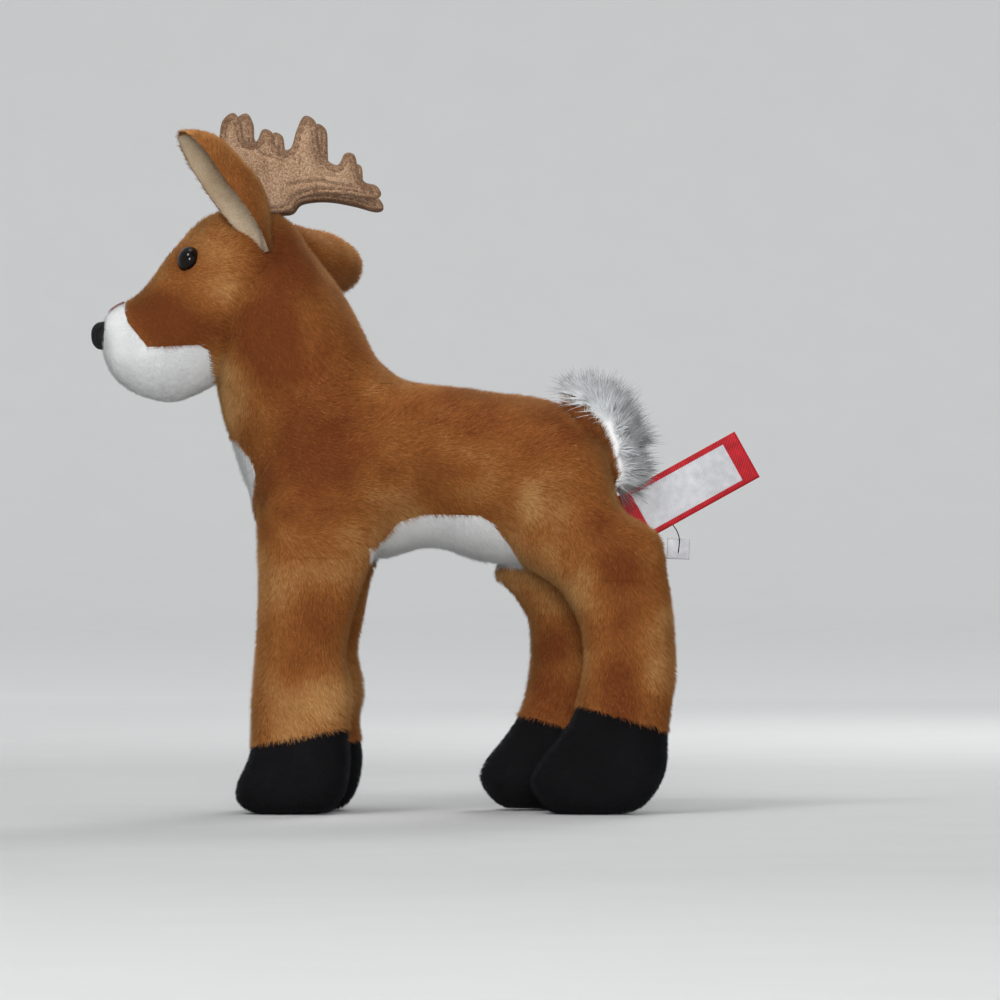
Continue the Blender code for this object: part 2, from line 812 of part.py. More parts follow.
def ear(side, form, cover, tan, pale, head):
    word = "left" if side == LEFT else "right"
    start = head_point(*EAR_PLACE_SHARES) + Vector((0, side * CUT_OVERRUN, 0))
    skin, normal = surface_point(form, start, Vector((0, -side, 0)))
    lean = Vector(EAR_LEAN[side]).normalized()
    hinge, base, gather, groove, clear = root_on(
        f"ear_{word}",
        form,
        skin,
        normal,
        lean.cross(normal),
        EAR_ROOT_RADIUS,
        EAR_ROOT_WIDTH,
        cover,
        head,
    )
    placement = frame_from(base, Vector(EAR_FACING[side]).cross(lean), lean)
    back_mesh = ear_sheet("ear_back", EAR_SHARES, EAR_BACK_THICKNESS, 0, 1.0)
    back = add(f"ear_{word}_back", back_mesh, tan)
    lift = EAR_BACK_THICKNESS / 2 + SEAM_GAP + EAR_LINING_THICKNESS / 2
    lining_mesh = ear_sheet(
        "ear_lining", EAR_SHARES[1:-1], EAR_LINING_THICKNESS, lift, EAR_LINING_WIDTH_SHARE
    )
    lining = add(f"ear_{word}_lining", lining_mesh, pale)
    for piece in (back, lining):
        place(piece, placement, hinge)
    cut(back, clear)
    join(back, gather)
    cut(lining, clear, groove)


# Antlers


def rounded(points):
    """A smooth closed outline through the points."""
    outline = []
    count = len(points)
    for k in range(count):
        a, b, c, d = (Vector(points[(k + step) % count]) for step in (-1, 0, 1, 2))
        for step in range(ANTLER_STEPS):
            t = step / ANTLER_STEPS
            outline.append(
                (
                    b * 2
                    + (c - a) * t
                    + (a * 2 - b * 5 + c * 4 - d) * t * t
                    + (b * 3 - a - c * 3 + d) * t * t * t
                )
                / 2
            )
    return outline


def drawn_in(outline, amount):
    """The outline moved inwards, for an outline that runs clockwise seen from +Y."""
    moved = []
    for k, point in enumerate(outline):
        tangent = (outline[(k + 1) % len(outline)] - outline[k - 1]).normalized()
        moved.append(point + Vector((tangent.y, -tangent.x)) * amount)
    return moved


def antler(side, form, cover, felt, fibre, head):
    word = "left" if side == LEFT else "right"
    above = head_point(ANTLER_PLACE_SHARE, 1) + Vector(
        (0, side * ANTLER_SPACING / 2, CUT_OVERRUN)
    )
    skin, normal = surface_point(form, above, Vector((0, 0, -1)))
    hinge, base, gather, groove, clear = root_on(
        f"antler_{word}",
        form,
        skin,
        normal,
        Vector((1, 0, 0)),
        ANTLER_ROOT_RADIUS,
        ANTLER_ROOT_WIDTH,
        cover,
        head,
    )
    upward = Vector((0, side * math.sin(ANTLER_LEAN), math.cos(ANTLER_LEAN)))
    pitch = Matrix.Rotation(ANTLER_PITCH[side], 3, "Y")
    placement = frame_from(base, pitch @ Vector((1, 0, 0)), pitch @ upward)

    shares = [Vector((x * ANTLER_SPAN, z * ANTLER_RISE)) for x, z in ANTLER_SHARES]
    outline = rounded(shares)
    inner = drawn_in(outline, ANTLER_HEM)
    half = ANTLER_WADDING / 2
    pieces = []
    for name, low, high, edge, material in (
        ("front_felt", half + SEAM_GAP, half + SEAM_GAP + FELT, outline, felt),
        ("wadding", -half, half, inner, fibre),
        ("back_felt", -half - SEAM_GAP - FELT, -half - SEAM_GAP, outline, felt),
    ):
        mesh = prism(name, [(p.x, p.y) for p in edge], low, high)
        pieces.append(add(f"antler_{word}_{name}", mesh, material))
    front, wadding, back = pieces
    for piece in pieces:
        place(piece, placement, hinge)
        cut(piece, clear)
    join(front, gather)
    cut(wadding, groove)
    cut(back, groove)


# Legs


def hip_centre(leg):
    x = trunk_point(HIP_SHARE[leg], 0).x
    return Vector((x, 0, HIP_HEIGHT[leg]))


def leg_form(leg, side, sides):
    """The whole leg from the sole up, with its right hoof stepped ahead."""
    hip = hip_centre(leg)
    half = LEG_DEPTH[leg] / 2
    lead = RIGHT_LEAD[leg] if side == RIGHT else 0
    rings = []
    for up, front, back, width in LEG_SHARES[leg]:
        step = lead * min(1, max(0, 1 - up) / LEAD_SHARE)
        centre = Vector(
            (
                hip.x + half * (front + back) / 2 - step,
                side * LEG_SPACING / 2,
                HIP_HEIGHT[leg] * up - (SOLE_FLAT if up == 0 else 0),
            )
        )
        rings.append(
            oval(
                centre,
                half * (back - front) / 2,
                LEG_WIDTH[leg] * width / 2,
                Vector((1, 0, 0)),
                Vector((0, 1, 0)),
                sides,
                FULLNESS,
            )
        )
    return loft(f"{leg}_leg_form", rings)


def seat_outline(leg, gap, flare):
    """A round about the hip whose sides fall away from it, at the flare's angle to upright."""
    hip = hip_centre(leg)
    radius = LEG_DEPTH[leg] / 2 + gap
    reach = HIP_HEIGHT[leg] + CUT_OVERRUN
    outline = []
    for k in range(HIP_SEGMENTS + 1):
        turn = flare + (math.pi - 2 * flare) * k / HIP_SEGMENTS
        outline.append((hip.x + radius * math.cos(turn), hip.z + radius * math.sin(turn)))
    spread = reach * math.tan(flare)
    first, last = outline[0], outline[-1]
    outline.append((last[0] - spread, last[1] - reach))
    outline.insert(0, (first[0] + spread, first[1] - reach))
    return outline


def leg_seat(leg, side, gap, flare, inner):
    """The space that a leg turns in, out from the web between the legs."""
    outer = TRUNK_WIDTH / 2 + CUT_OVERRUN
    low, high = sorted((side * inner, side * outer))
    return prism(f"{leg}_seat", seat_outline(leg, gap, flare), low, high)


def hoof_region(leg, side, inset, above):
    """The region above or below the hoof's slanting upper edge."""
    hip = hip_centre(leg)
    half = LEG_DEPTH[leg]
    lead = RIGHT_LEAD[leg] if side == RIGHT else 0
    front, back = (HIP_HEIGHT[leg] * up for up in HOOF_EDGE_SHARES[leg])
    slope = (back - front) / half
    near_x = hip.x - lead - half - CUT_OVERRUN
    far_x = hip.x - lead + half + CUT_OVERRUN
    middle = (front + back) / 2
    near = middle + slope * (near_x - hip.x + lead)
    far = middle + slope * (far_x - hip.x + lead)
    if above:
        top = hip.z + LEG_DEPTH[leg] + CUT_OVERRUN
        outline = [(near_x, near + inset), (near_x, top), (far_x, top), (far_x, far + inset)]
    else:
        outline = [(near_x, 0), (near_x, near - inset), (far_x, far - inset), (far_x, 0)]
    outer = TRUNK_WIDTH / 2 + CUT_OVERRUN
    low, high = sorted((0, side * outer))
    return prism("hoof_region", outline, low, high)


def leg_pieces(leg, side, trunk, tan, black, fibre, root):
    word = "left" if side == LEFT else "right"
    name = f"{leg}_{word}"
    hip = hip_centre(leg)
    form = leg_form(leg, side, LEG_SIDES)
    core = leg_form(leg, side, LEG_SIDES // 2)
    web = LEG_WEB / 2
    turning = pivot(f"{name}_hip", Vector((hip.x, side * LEG_SPACING / 2, hip.z)), root)

    seat = guide(f"{name}_seat", leg_seat(leg, side, 0, LEG_FLARE, web + SEAM_GAP))
    fill_mesh = leg_seat(leg, side, -SEAM_GAP, LEG_FLARE, web + SEAM_GAP)
    fill_seat = guide(f"{name}_fill_seat", fill_mesh)
    hollow = guide(f"{name}_hollow", grown(core, -PLUSH, "leg_hollow"))
    hoof_hollow = guide(f"{name}_hoof_hollow", grown(core, -HOOF_FABRIC, "hoof_hollow"))
    over = guide(f"{name}_over", hoof_region(leg, side, SEAM_GAP / 2, True))
    under = guide(f"{name}_under", hoof_region(leg, side, SEAM_GAP / 2, False))

    cover = add(f"{name}_leg_cover", form.copy(), tan)
    cut(cover, hollow)
    keep(cover, seat, over)
    hoof = add(f"{name}_hoof", form.copy(), black)
    cut(hoof, hoof_hollow)
    keep(hoof, under)
    filling = add(f"{name}_stuffing", grown(core, -PLUSH - SEAM_GAP, "leg_stuffing"), fibre)
    keep(filling, fill_seat)
    carry(turning, seat, fill_seat, hollow, hoof_hollow, over, under, cover, hoof, filling)

    room_mesh = leg_seat(leg, side, HIP_GAP, LEG_FLARE + LEG_SWING, web)
    room = guide(f"{name}_room", room_mesh)
    carry(root, room)
    for piece in trunk:
        cut(piece, room)


# Tail and labels


def tail_pieces(form, cover, tan, white, root):
    start = trunk_point(1, TAIL_ROOT_SHARE) + Vector((CUT_OVERRUN, 0, 0))
    skin, normal = surface_point(form, start, Vector((-1, 0, 0)))
    hinge, base, gather, groove, clear = root_on(
        "tail",
        form,
        skin,
        normal,
        Vector((0, 1, 0)),
        TAIL_ROOT_RADIUS,
        TAIL_ROOT_WIDTH,
        cover,
        root,
    )
    spine = [
        base + Vector((TAIL_REACH * along, 0, TAIL_REACH * up)) for along, up, _, _ in TAIL_SHARES
    ]

    def layer(name, low, high):
        """The part of the tail from low to high across its thickness, from the rump outwards."""
        rings = []
        for k, (_, _, thickness, width) in enumerate(TAIL_SHARES):
            ahead = spine[min(k + 1, len(spine) - 1)] - spine[max(k - 1, 0)]
            outward = Vector((0, 1, 0)).cross(ahead).normalized()
            middle = (low + high - TAIL_THICKNESS) / 2
            rings.append(
                oval(
                    spine[k] + outward * (middle * thickness),
                    (high - low) * thickness / 2,
                    TAIL_WIDTH * width / 2,
                    outward,
                    Vector((0, 1, 0)),
                    TAIL_SIDES,
                    FULLNESS,
                )
            )
        return loft(name, rings)

    panel = add("tail_panel", layer("tail_panel", 0, TAIL_PANEL), tan)
    fluff_mesh = layer("tail_fluff", TAIL_PANEL + SEAM_GAP, TAIL_THICKNESS)
    fluff = add("tail_fluff", fluff_mesh, white)
    carry(hinge, panel, fluff)
    cut(panel, clear)
    join(panel, gather)
    cut(fluff, clear, groove)


def rump_edge(form, up):
    """A point of the seam down the middle of the rump, and the way the seam runs there."""
    places = []
    for share in (up + SEAM_STEP_SHARE, up - SEAM_STEP_SHARE):
        start = trunk_point(1, share) + Vector((CUT_OVERRUN, 0, 0))
        places.append(surface_point(form, start, Vector((-1, 0, 0)))[0])
    return (places[0] + places[1]) / 2, (places[1] - places[0]).normalized()


def folded_ribbon(name, length, width):
    """A ribbon doubled over at its far end, along +Z and across X, its fold open."""
    inner = LABEL_FOLD / 2 - RIBBON
    outer = LABEL_FOLD / 2
    bend = length - outer
    outside = [(-outer, 0)]
    inside = [(-inner, 0)]
    for k in range(FOLD_STEPS + 1):
        turn = math.pi - math.pi * k / FOLD_STEPS
        outside.append((outer * math.cos(turn), bend + outer * math.sin(turn)))
        inside.append((inner * math.cos(turn), bend + inner * math.sin(turn)))
    outside.append((outer, 0))
    inside.append((inner, 0))
    outline = outside + inside[::-1]
    rings = [[Vector((x, y, z)) for y, z in outline] for x in (-width / 2, width / 2)]
    return loft(name, rings)


def label_pieces(form, red, satin, root):
    standoff = guide("seam_clearance", grown(form, LABEL_STANDOFF, "seam_clearance"))
    carry(root, standoff)

    skin, seam = rump_edge(form, LABEL_HEIGHT_SHARE)
    outward = Vector((-seam.z, 0, seam.x))
    axis_place = skin + outward * LABEL_STANDOFF
    along = Vector((math.cos(LABEL_RISE), 0, math.sin(LABEL_RISE)))
    hinge = pivot("label_seam", axis_place, root)
    sunk = skin - along * (LABEL_WIDTH / 2)
    length = LABEL_LENGTH + LABEL_WIDTH / 2
    ribbon = add("woven_label", folded_ribbon("woven_label", length, LABEL_WIDTH), red)
    place(ribbon, frame_from(sunk, seam, along), hinge)
    cut(ribbon, standoff)

    skin, seam = rump_edge(form, TAB_HEIGHT_SHARE)
    outward = Vector((-seam.z, 0, seam.x))
    fall = Vector((math.cos(TAB_FALL), 0, -math.sin(TAB_FALL)))
    axis_place = skin + outward * LABEL_STANDOFF
    hinge = pivot("tab_seam", axis_place, root)
    sunk = skin - fall * (TAB_WIDTH / 2)
    length = TAB_LENGTH + TAB_WIDTH / 2
    corners = [(-1, 0), (1, 0), (1, 1), (-1, 1)]
    outline = [(x * TAB_WIDTH / 2, z * length) for x, z in corners]
    tab_mesh = prism("satin_tab", outline, -TAB_THICKNESS / 2, TAB_THICKNESS / 2)
    tab = add("satin_tab", tab_mesh, satin)
    place(tab, frame_from(sunk, seam, fall), hinge)
    cut(tab, standoff)


def stand_on_origin(root):
    """Moves the whole deer so that the middle of its footprint is the origin."""
    bpy.context.view_layer.update()
    graph = bpy.context.evaluated_depsgraph_get()
    corners = []
    for piece in bpy.data.objects:
        if piece.type == "MESH" and not piece.hide_render:
            seen = piece.evaluated_get(graph)
            corners += [seen.matrix_world @ Vector(corner) for corner in seen.bound_box]
    low = Vector(min(c[k] for c in corners) for k in range(3))
    high = Vector(max(c[k] for c in corners) for k in range(3))
    root.location = Vector((-(low.x + high.x) / 2, -(low.y + high.y) / 2, -low.z))


def main():
    clear_scene()
    tan = finish("tan_plush", (0.40, 0.17, 0.05), 0.85)
    white = finish("white_plush", (0.85, 0.85, 0.83), 0.85)
    pale = finish("cream_plush", (0.78, 0.68, 0.52), 0.85)
    black = finish("black_plush", (0.012, 0.012, 0.015), 0.9)
    felt = finish("antler_felt", (0.45, 0.27, 0.17), 0.95)
    fibre = finish("fibre_filling", (0.9, 0.9, 0.9), 0.95)
    gloss = finish("eye_plastic", (0.008, 0.006, 0.006), 0.08)
    plastic = finish("washer_plastic", (0.8, 0.8, 0.78), 0.4)
    shaggy = finish("long_white_pile", (0.8, 0.82, 0.82), 0.9)
    red = finish("red_ribbon", (0.62, 0.02, 0.03), 0.55)
    satin = finish("white_satin", (0.85, 0.85, 0.86), 0.4)

    root = pivot("deer", Vector((0, 0, 0)), None)
    trunk = trunk_form(TRUNK_SIDES)
    trunk_parts = trunk_pieces(trunk, tan, white, fibre, root)
    neck_pieces(trunk, tan, white, fibre, root)
    tail_pieces(trunk, trunk_parts[0], tan, shaggy, root)
    for leg in LEG_NAMES:
        for side in (LEFT, RIGHT):
            leg_pieces(leg, side, trunk_parts, tan, black, fibre, root)
    label_pieces(trunk, red, satin, root)

    head = pivot("head_nod", dome_centre(), root)
    skull = head_form(HEAD_SIDES)
    cover, filling = head_pieces(skull, tan, white, fibre, head)
    nose_pad(skull, black, head)
    for side in (LEFT, RIGHT):
        eye(side, skull, cover, filling, gloss, plastic, head)
        ear(side, skull, cover, tan, pale, head)
        antler(side, skull, cover, felt, fibre, head)
    stand_on_origin(root)


main()
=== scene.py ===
import json
import math

import bmesh
import bpy
import numpy as np
from mathutils import Matrix, Vector
from mathutils.bvhtree import BVHTree
from mathutils.geometry import delaunay_2d_cdt


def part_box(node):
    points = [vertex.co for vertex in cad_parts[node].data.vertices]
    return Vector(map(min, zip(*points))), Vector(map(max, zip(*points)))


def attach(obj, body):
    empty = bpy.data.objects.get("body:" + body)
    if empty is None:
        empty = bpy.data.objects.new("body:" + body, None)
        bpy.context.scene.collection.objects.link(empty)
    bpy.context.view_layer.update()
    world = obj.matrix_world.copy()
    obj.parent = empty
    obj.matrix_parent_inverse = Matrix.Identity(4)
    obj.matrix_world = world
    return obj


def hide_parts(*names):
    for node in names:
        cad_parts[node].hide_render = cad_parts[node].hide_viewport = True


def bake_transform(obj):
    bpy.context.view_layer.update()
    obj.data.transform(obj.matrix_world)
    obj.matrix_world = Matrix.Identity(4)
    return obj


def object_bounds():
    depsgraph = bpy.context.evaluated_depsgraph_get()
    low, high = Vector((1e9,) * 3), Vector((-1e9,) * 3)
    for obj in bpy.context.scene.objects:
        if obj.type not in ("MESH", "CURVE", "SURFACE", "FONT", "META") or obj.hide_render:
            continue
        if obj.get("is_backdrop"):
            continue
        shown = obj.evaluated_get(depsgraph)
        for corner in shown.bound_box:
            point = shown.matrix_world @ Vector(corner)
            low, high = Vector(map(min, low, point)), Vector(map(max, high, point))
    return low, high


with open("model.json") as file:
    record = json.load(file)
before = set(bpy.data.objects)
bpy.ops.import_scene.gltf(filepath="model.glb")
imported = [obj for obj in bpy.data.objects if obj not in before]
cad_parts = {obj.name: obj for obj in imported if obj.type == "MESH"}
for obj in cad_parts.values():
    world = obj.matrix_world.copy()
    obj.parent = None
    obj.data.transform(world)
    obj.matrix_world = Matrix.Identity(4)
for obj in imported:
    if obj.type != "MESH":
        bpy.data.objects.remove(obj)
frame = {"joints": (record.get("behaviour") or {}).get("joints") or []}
cad_low, cad_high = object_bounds()
hinge = {joint["name"]: np.array(joint["pos_m"]) for joint in frame["joints"]}

# The stuffed forms. Each is a run of oval sections filled tight with fibre. The side panels of the
# body run in one piece from the neck down into the legs, so those forms are joined into one skin and
# softened where they meet. The head is a form of its own, sewn to the top of the neck.
MM = 0.001
BACKING_INSET = 0.8 * MM
BODY_VOXEL = 0.9 * MM
HEAD_VOXEL = 0.75 * MM
SECTION_SIDES = 48
BETWEEN = 4
FULLNESS = 2.3
# How much of the pull to the neighbours a round takes, and what is left of it on bulges
EVENING = 0.6
BULGE_SHARE = 0.1
BELLY_HEIGHT = 79.2 * MM
TRUNK_HEIGHT = 50.4 * MM
TRUNK_WIDTH = 52 * MM
NECK_LENGTH = 60 * MM
NECK_DEPTH = 60 * MM
NECK_WIDTH = 48 * MM
NECK_LEAN = math.radians(24.7)
HEAD_LENGTH = 60.9 * MM
HEAD_HEIGHT = 59.1 * MM
HEAD_WIDTH = 42 * MM
HEAD_BACK = 2.4 * MM
HEAD_DROP = 14.7 * MM
LEG_WIDTH = {"fore": 23 * MM, "hind": 24 * MM}
LEG_DEPTH = {"fore": 35 * MM, "hind": 46.2 * MM}
RIGHT_LEAD = {"fore": -3 * MM, "hind": 15 * MM}
LEAD_SHARE = {"fore": 0.3, "hind": 0.11}
SIDES = {"left": -1, "right": 1}
# Along the trunk, its top and bottom as shares of its height, and its width
TRUNK_SECTIONS = (
    (0.0, 0.43, 0.26, 0.25),
    (0.019, 0.64, 0.11, 0.62),
    (0.065, 0.85, 0.0, 0.85),
    (0.16, 0.955, -0.05, 0.96),
    (0.3, 1.0, -0.06, 1.0),
    (0.43, 0.975, 0.0, 1.0),
    (0.56, 0.934, -0.075, 1.0),
    (0.69, 0.89, -0.13, 1.02),
    (0.78, 0.8, -0.18, 1.0),
    (0.834, 0.62, -0.19, 0.95),
    (0.852, 0.42, -0.19, 0.89),
    (0.878, 0.24, -0.19, 0.84),
    (0.92, 0.11, -0.18, 0.72),
    (0.985, -0.03, -0.12, 0.32),
)
# Along the neck, its front and back as shares of half its depth, and its width
NECK_SECTIONS = (
    (-0.075, 1.01, -1.05, 0.97),
    (0.0, 1.01, -1.0, 0.97),
    (0.16, 0.965, -0.8, 0.94),
    (0.3, 0.912, -0.71, 0.9),
    (0.475, 0.84, -0.69, 0.89),
    (0.635, 0.76, -0.67, 0.91),
    (0.775, 0.64, -0.61, 0.9),
    (0.925, 0.36, -0.54, 0.72),
    (1.0, 0.05, -0.47, 0.4),
)
# Along the head, its top and bottom as shares of its height, and its width
HEAD_SECTIONS = (
    (0.0, 0.396, 0.315, 0.14),
    (0.02, 0.452, 0.234, 0.3),
    (0.064, 0.497, 0.132, 0.46),
    (0.138, 0.543, 0.061, 0.58),
    (0.236, 0.624, 0.015, 0.7),
    (0.36, 0.797, 0.0, 0.85),
    (0.483, 0.924, 0.046, 0.96),
    (0.606, 0.985, 0.122, 1.0),
    (0.729, 1.005, 0.264, 0.97),
    (0.842, 0.985, 0.416, 0.86),
    (0.936, 0.914, 0.548, 0.65),
    (1.0, 0.807, 0.655, 0.3),
)
# Up each leg: its height as a share of the hip's, its front and back as shares of half its depth
# ahead of and behind the hip, and its width
LEG_SECTIONS = {
    "fore": (
        (0.0, -1.04, 0.22, 0.62),
        (0.045, -1.4, 0.44, 0.88),
        (0.12, -1.36, 0.57, 0.95),
        (0.22, -1.15, 0.6, 0.88),
        (0.345, -1.11, 0.55, 0.85),
        (0.46, -1.08, 0.63, 0.82),
        (0.61, -1.03, 0.52, 0.82),
        (0.76, -1.0, 0.66, 0.88),
        (0.9, -0.98, 0.88, 0.95),
        (1.0, -1.0, 1.08, 1.0),
        (1.1, -1.0, 1.02, 0.99),
        (1.19, -0.86, 0.84, 0.92),
        (1.26, -0.5, 0.5, 0.7),
    ),
    "hind": (
        (0.0, -0.38, 0.48, 0.6),
        (0.04, -0.6, 0.78, 0.84),
        (0.12, -0.76, 0.98, 0.92),
        (0.2, -0.64, 1.05, 0.92),
        (0.29, -0.4, 1.06, 0.88),
        (0.385, -0.2, 1.1, 0.84),
        (0.54, -0.07, 1.15, 0.82),
        (0.7, -0.1, 1.11, 0.84),
        (0.8, -0.26, 1.08, 0.88),
        (0.87, -0.46, 1.06, 0.93),
        (0.94, -0.8, 1.03, 0.98),
        (1.0, -0.98, 1.0, 1.0),
        (1.055, -1.0, 0.92, 1.0),
        (1.1, -0.97, 0.68, 0.98),
        (1.15, -0.9, 0.45, 0.96),
        (1.22, -0.7, 0.27, 0.86),
        (1.29, -0.3, 0.0, 0.6),
    ),
}
middle_y = hinge["head_nod"][1]
trunk_low, trunk_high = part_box("trunk_cover")
X_AXIS, Y_AXIS, Z_AXIS = np.eye(3)
neck_up = np.array((-math.sin(NECK_LEAN), 0, math.cos(NECK_LEAN)))
neck_front = np.array((-math.cos(NECK_LEAN), 0, -math.sin(NECK_LEAN)))


def trunk_point(along, up):
    length = trunk_high.x - trunk_low.x
    return np.array((trunk_low.x + length * along, middle_y, BELLY_HEIGHT + TRUNK_HEIGHT * up))


NECK_ROOT = trunk_point(0.194, 0.667)


def neck_point(along, across):
    return NECK_ROOT + neck_up * (NECK_LENGTH * along) + neck_front * (NECK_DEPTH / 2 * across)


def head_point(along, up):
    dome = hinge["head_nod"]
    nose = dome[0] - HEAD_BACK - HEAD_LENGTH
    return np.array((nose + HEAD_LENGTH * along, middle_y, dome[2] - HEAD_DROP + HEAD_HEIGHT * up))


def eased(rows, steps):
    """More sections, on a smooth curve through the given ones."""
    rows = np.array(rows, float)
    rows = np.vstack([2 * rows[0] - rows[1], rows, 2 * rows[-1] - rows[-2]])
    made = []
    for a, b, c, d in zip(rows, rows[1:], rows[2:], rows[3:]):
        for t in np.arange(steps) / steps:
            bend = (2 * a - 5 * b + 4 * c - d) * t**2 + (3 * b - a - 3 * c + d) * t**3
            made.append((2 * b + (c - a) * t + bend) / 2)
    made.append(rows[-2])
    return made


def oval(centre, half_a, half_b, along_a, along_b, sides=SECTION_SIDES, squareness=2.0):
    """Points of a rounded section; a squareness above 2 fills its corners."""
    turn = 2 * math.pi * np.arange(sides) / sides
    a = np.sign(np.cos(turn)) * np.abs(np.cos(turn)) ** (2 / squareness)
    b = np.sign(np.sin(turn)) * np.abs(np.sin(turn)) ** (2 / squareness)
    return centre + np.outer(half_a * a, along_a) + np.outer(half_b * b, along_b)


def trunk_rings():
    rings = []
    for along, top, bottom, width in eased(TRUNK_SECTIONS, BETWEEN):
        half_height = TRUNK_HEIGHT * (top - bottom) / 2 - BACKING_INSET
        half_width = TRUNK_WIDTH * width / 2 - BACKING_INSET
        rings.append(oval(trunk_point(along, (top + bottom) / 2), half_height, half_width, Z_AXIS, Y_AXIS))
    return rings


def neck_rings():
    rings = []
    for along, fore, back, width in eased(NECK_SECTIONS, BETWEEN):
        half_depth = NECK_DEPTH / 2 * (fore - back) / 2 - BACKING_INSET
        half_width = NECK_WIDTH * width / 2 - BACKING_INSET
        centre = neck_point(along, (fore + back) / 2)
        rings.append(oval(centre, half_depth, half_width, neck_front, Y_AXIS, SECTION_SIDES, FULLNESS))
    return rings


def head_rings():
    rings = []
    for along, top, bottom, width in eased(HEAD_SECTIONS, BETWEEN):
        half_height = HEAD_HEIGHT * (top - bottom) / 2 - BACKING_INSET
        half_width = HEAD_WIDTH * width / 2 - BACKING_INSET
        rings.append(oval(head_point(along, (top + bottom) / 2), half_height, half_width, Z_AXIS, Y_AXIS))
    return rings


def leg_rings(leg, word):
    hip = hinge[f"{leg}_leg_{word}_swing"]
    half = LEG_DEPTH[leg] / 2
    lead = RIGHT_LEAD[leg] if word == "right" else 0
    rings = []
    for up, front, back, width in eased(LEG_SECTIONS[leg], BETWEEN):
        step = lead * min(1, max(0, 1 - up) / LEAD_SHARE[leg])
        height = max(hip[2] * up, BACKING_INSET)
        centre = np.array((hip[0] + half * (front + back) / 2 - step, hip[1], height))
        half_depth = half * (back - front) / 2 - BACKING_INSET
        half_width = LEG_WIDTH[leg] * width / 2 - BACKING_INSET
        rings.append(oval(centre, half_depth, half_width, X_AXIS, Y_AXIS, SECTION_SIDES, FULLNESS))
    return rings


def added(name, data):
    """A new object in the scene."""
    thing = bpy.data.objects.new(name, data)
    bpy.context.scene.collection.objects.link(thing)
    return thing


def joined_rings(shape, rings):
    """Adds the skin over rings of points to a bmesh, open at both ends, and returns its corners."""
    rows = [[shape.verts.new(point) for point in ring] for ring in rings]
    for low, high in zip(rows, rows[1:]):
        for k in range(len(low)):
            after = (k + 1) % len(low)
            shape.faces.new((low[k], low[after], high[after], high[k]))
    return rows


def lofted(name, forms):
    """A mesh of closed forms, each a list of rings."""
    shape = bmesh.new()
    for rings in forms:
        rows = joined_rings(shape, rings)
        shape.faces.new(rows[0])
        shape.faces.new(rows[-1])
    bmesh.ops.recalc_face_normals(shape, faces=shape.faces)
    mesh = bpy.data.meshes.new(name)
    shape.to_mesh(mesh)
    shape.free()
    return mesh


def voxel_skin(mesh, voxel):
    """Points and four-cornered faces of one even skin around a mesh."""
    thing = added(mesh.name, mesh)
    modifier = thing.modifiers.new("even", "REMESH")
    modifier.mode = "VOXEL"
    modifier.voxel_size = voxel
    seen = thing.evaluated_get(bpy.context.evaluated_depsgraph_get()).to_mesh()
    points = np.zeros(len(seen.vertices) * 3)
    seen.vertices.foreach_get("co", points)
    faces = np.zeros(len(seen.loops), int)
    seen.loops.foreach_get("vertex_index", faces)
    bpy.data.objects.remove(thing)
    return points.reshape(-1, 3), faces.reshape(-1, 4)


def unit(vectors):
    return vectors / np.maximum(np.linalg.norm(vectors, axis=1), 1e-12)[:, None]


def skin_normals(points, faces):
    across = np.cross(points[faces[:, 2]] - points[faces[:, 0]], points[faces[:, 3]] - points[faces[:, 1]])
    normals = np.zeros_like(points)
    for corner in range(4):
        np.add.at(normals, faces[:, corner], across)
    return unit(normals)


def softened(points, faces, rounds, hollows):
    """Evens the skin for a few rounds, then only fills its hollow creases, as the filling does."""
    start = np.concatenate([faces[:, k] for k in range(4)])
    end = np.concatenate([faces[:, (k + 1) % 4] for k in range(4)])
    count = np.bincount(start, minlength=len(points)) + np.bincount(end, minlength=len(points))
    for turn in range(rounds + hollows):
        total = np.zeros_like(points)
        for axis in range(3):
            total[:, axis] = np.bincount(start, points[end, axis], len(points))
            total[:, axis] += np.bincount(end, points[start, axis], len(points))
        pull = total / count[:, None] - points
        if turn >= rounds:
            normals = skin_normals(points, faces)
            hollow = (pull * normals).sum(1) > 0
            pull = np.where(hollow[:, None], pull, BULGE_SHARE * pull)
        points = points + EVENING * pull
    return points


body_forms = [trunk_rings(), neck_rings()]
for leg in LEG_DEPTH:
    for word in SIDES:
        body_forms.append(leg_rings(leg, word))
body_points, body_faces = voxel_skin(lofted("body_form", body_forms), BODY_VOXEL)
body_points = softened(body_points, body_faces, rounds=5, hollows=45)
head_points, head_faces = voxel_skin(lofted("head_form", [head_rings()]), HEAD_VOXEL)
head_points = softened(head_points, head_faces, rounds=6, hollows=10)

# The panels. White plush is let into the belly, the chest and the muzzle, and black plush makes the
# hooves. Each panel's edge is a seam, drawn here as an outline in the side view, or for the bib in
# the front view.
OUTSIDE = 40 * MM
LEG_SEAM = {"fore": 76 * MM, "hind": 69.4 * MM}
LEG_BEND = 26 * MM
LEG_WEB = 6 * MM
HOOF_SEAM = {"fore": (0.262, 0.343), "hind": (0.482, 0.322)}
RIGHT_SEAM_DROP = 4 * MM
# How far, in voxels, a corner may move onto its seam
SEAM_REACH = 1.3
BELLY_FRONT_GAP = 1.5 * MM
BELLY_BACK_REACH = 3 * MM
BELLY_SEAM = (
    (0.27, -0.02),
    (0.315, 0.048),
    (0.351, 0.155),
    (0.41, 0.196),
    (0.542, 0.196),
    (0.571, 0.155),
    (0.614, 0.018),
    (0.643, -0.1),
    (0.556, -0.125),
)
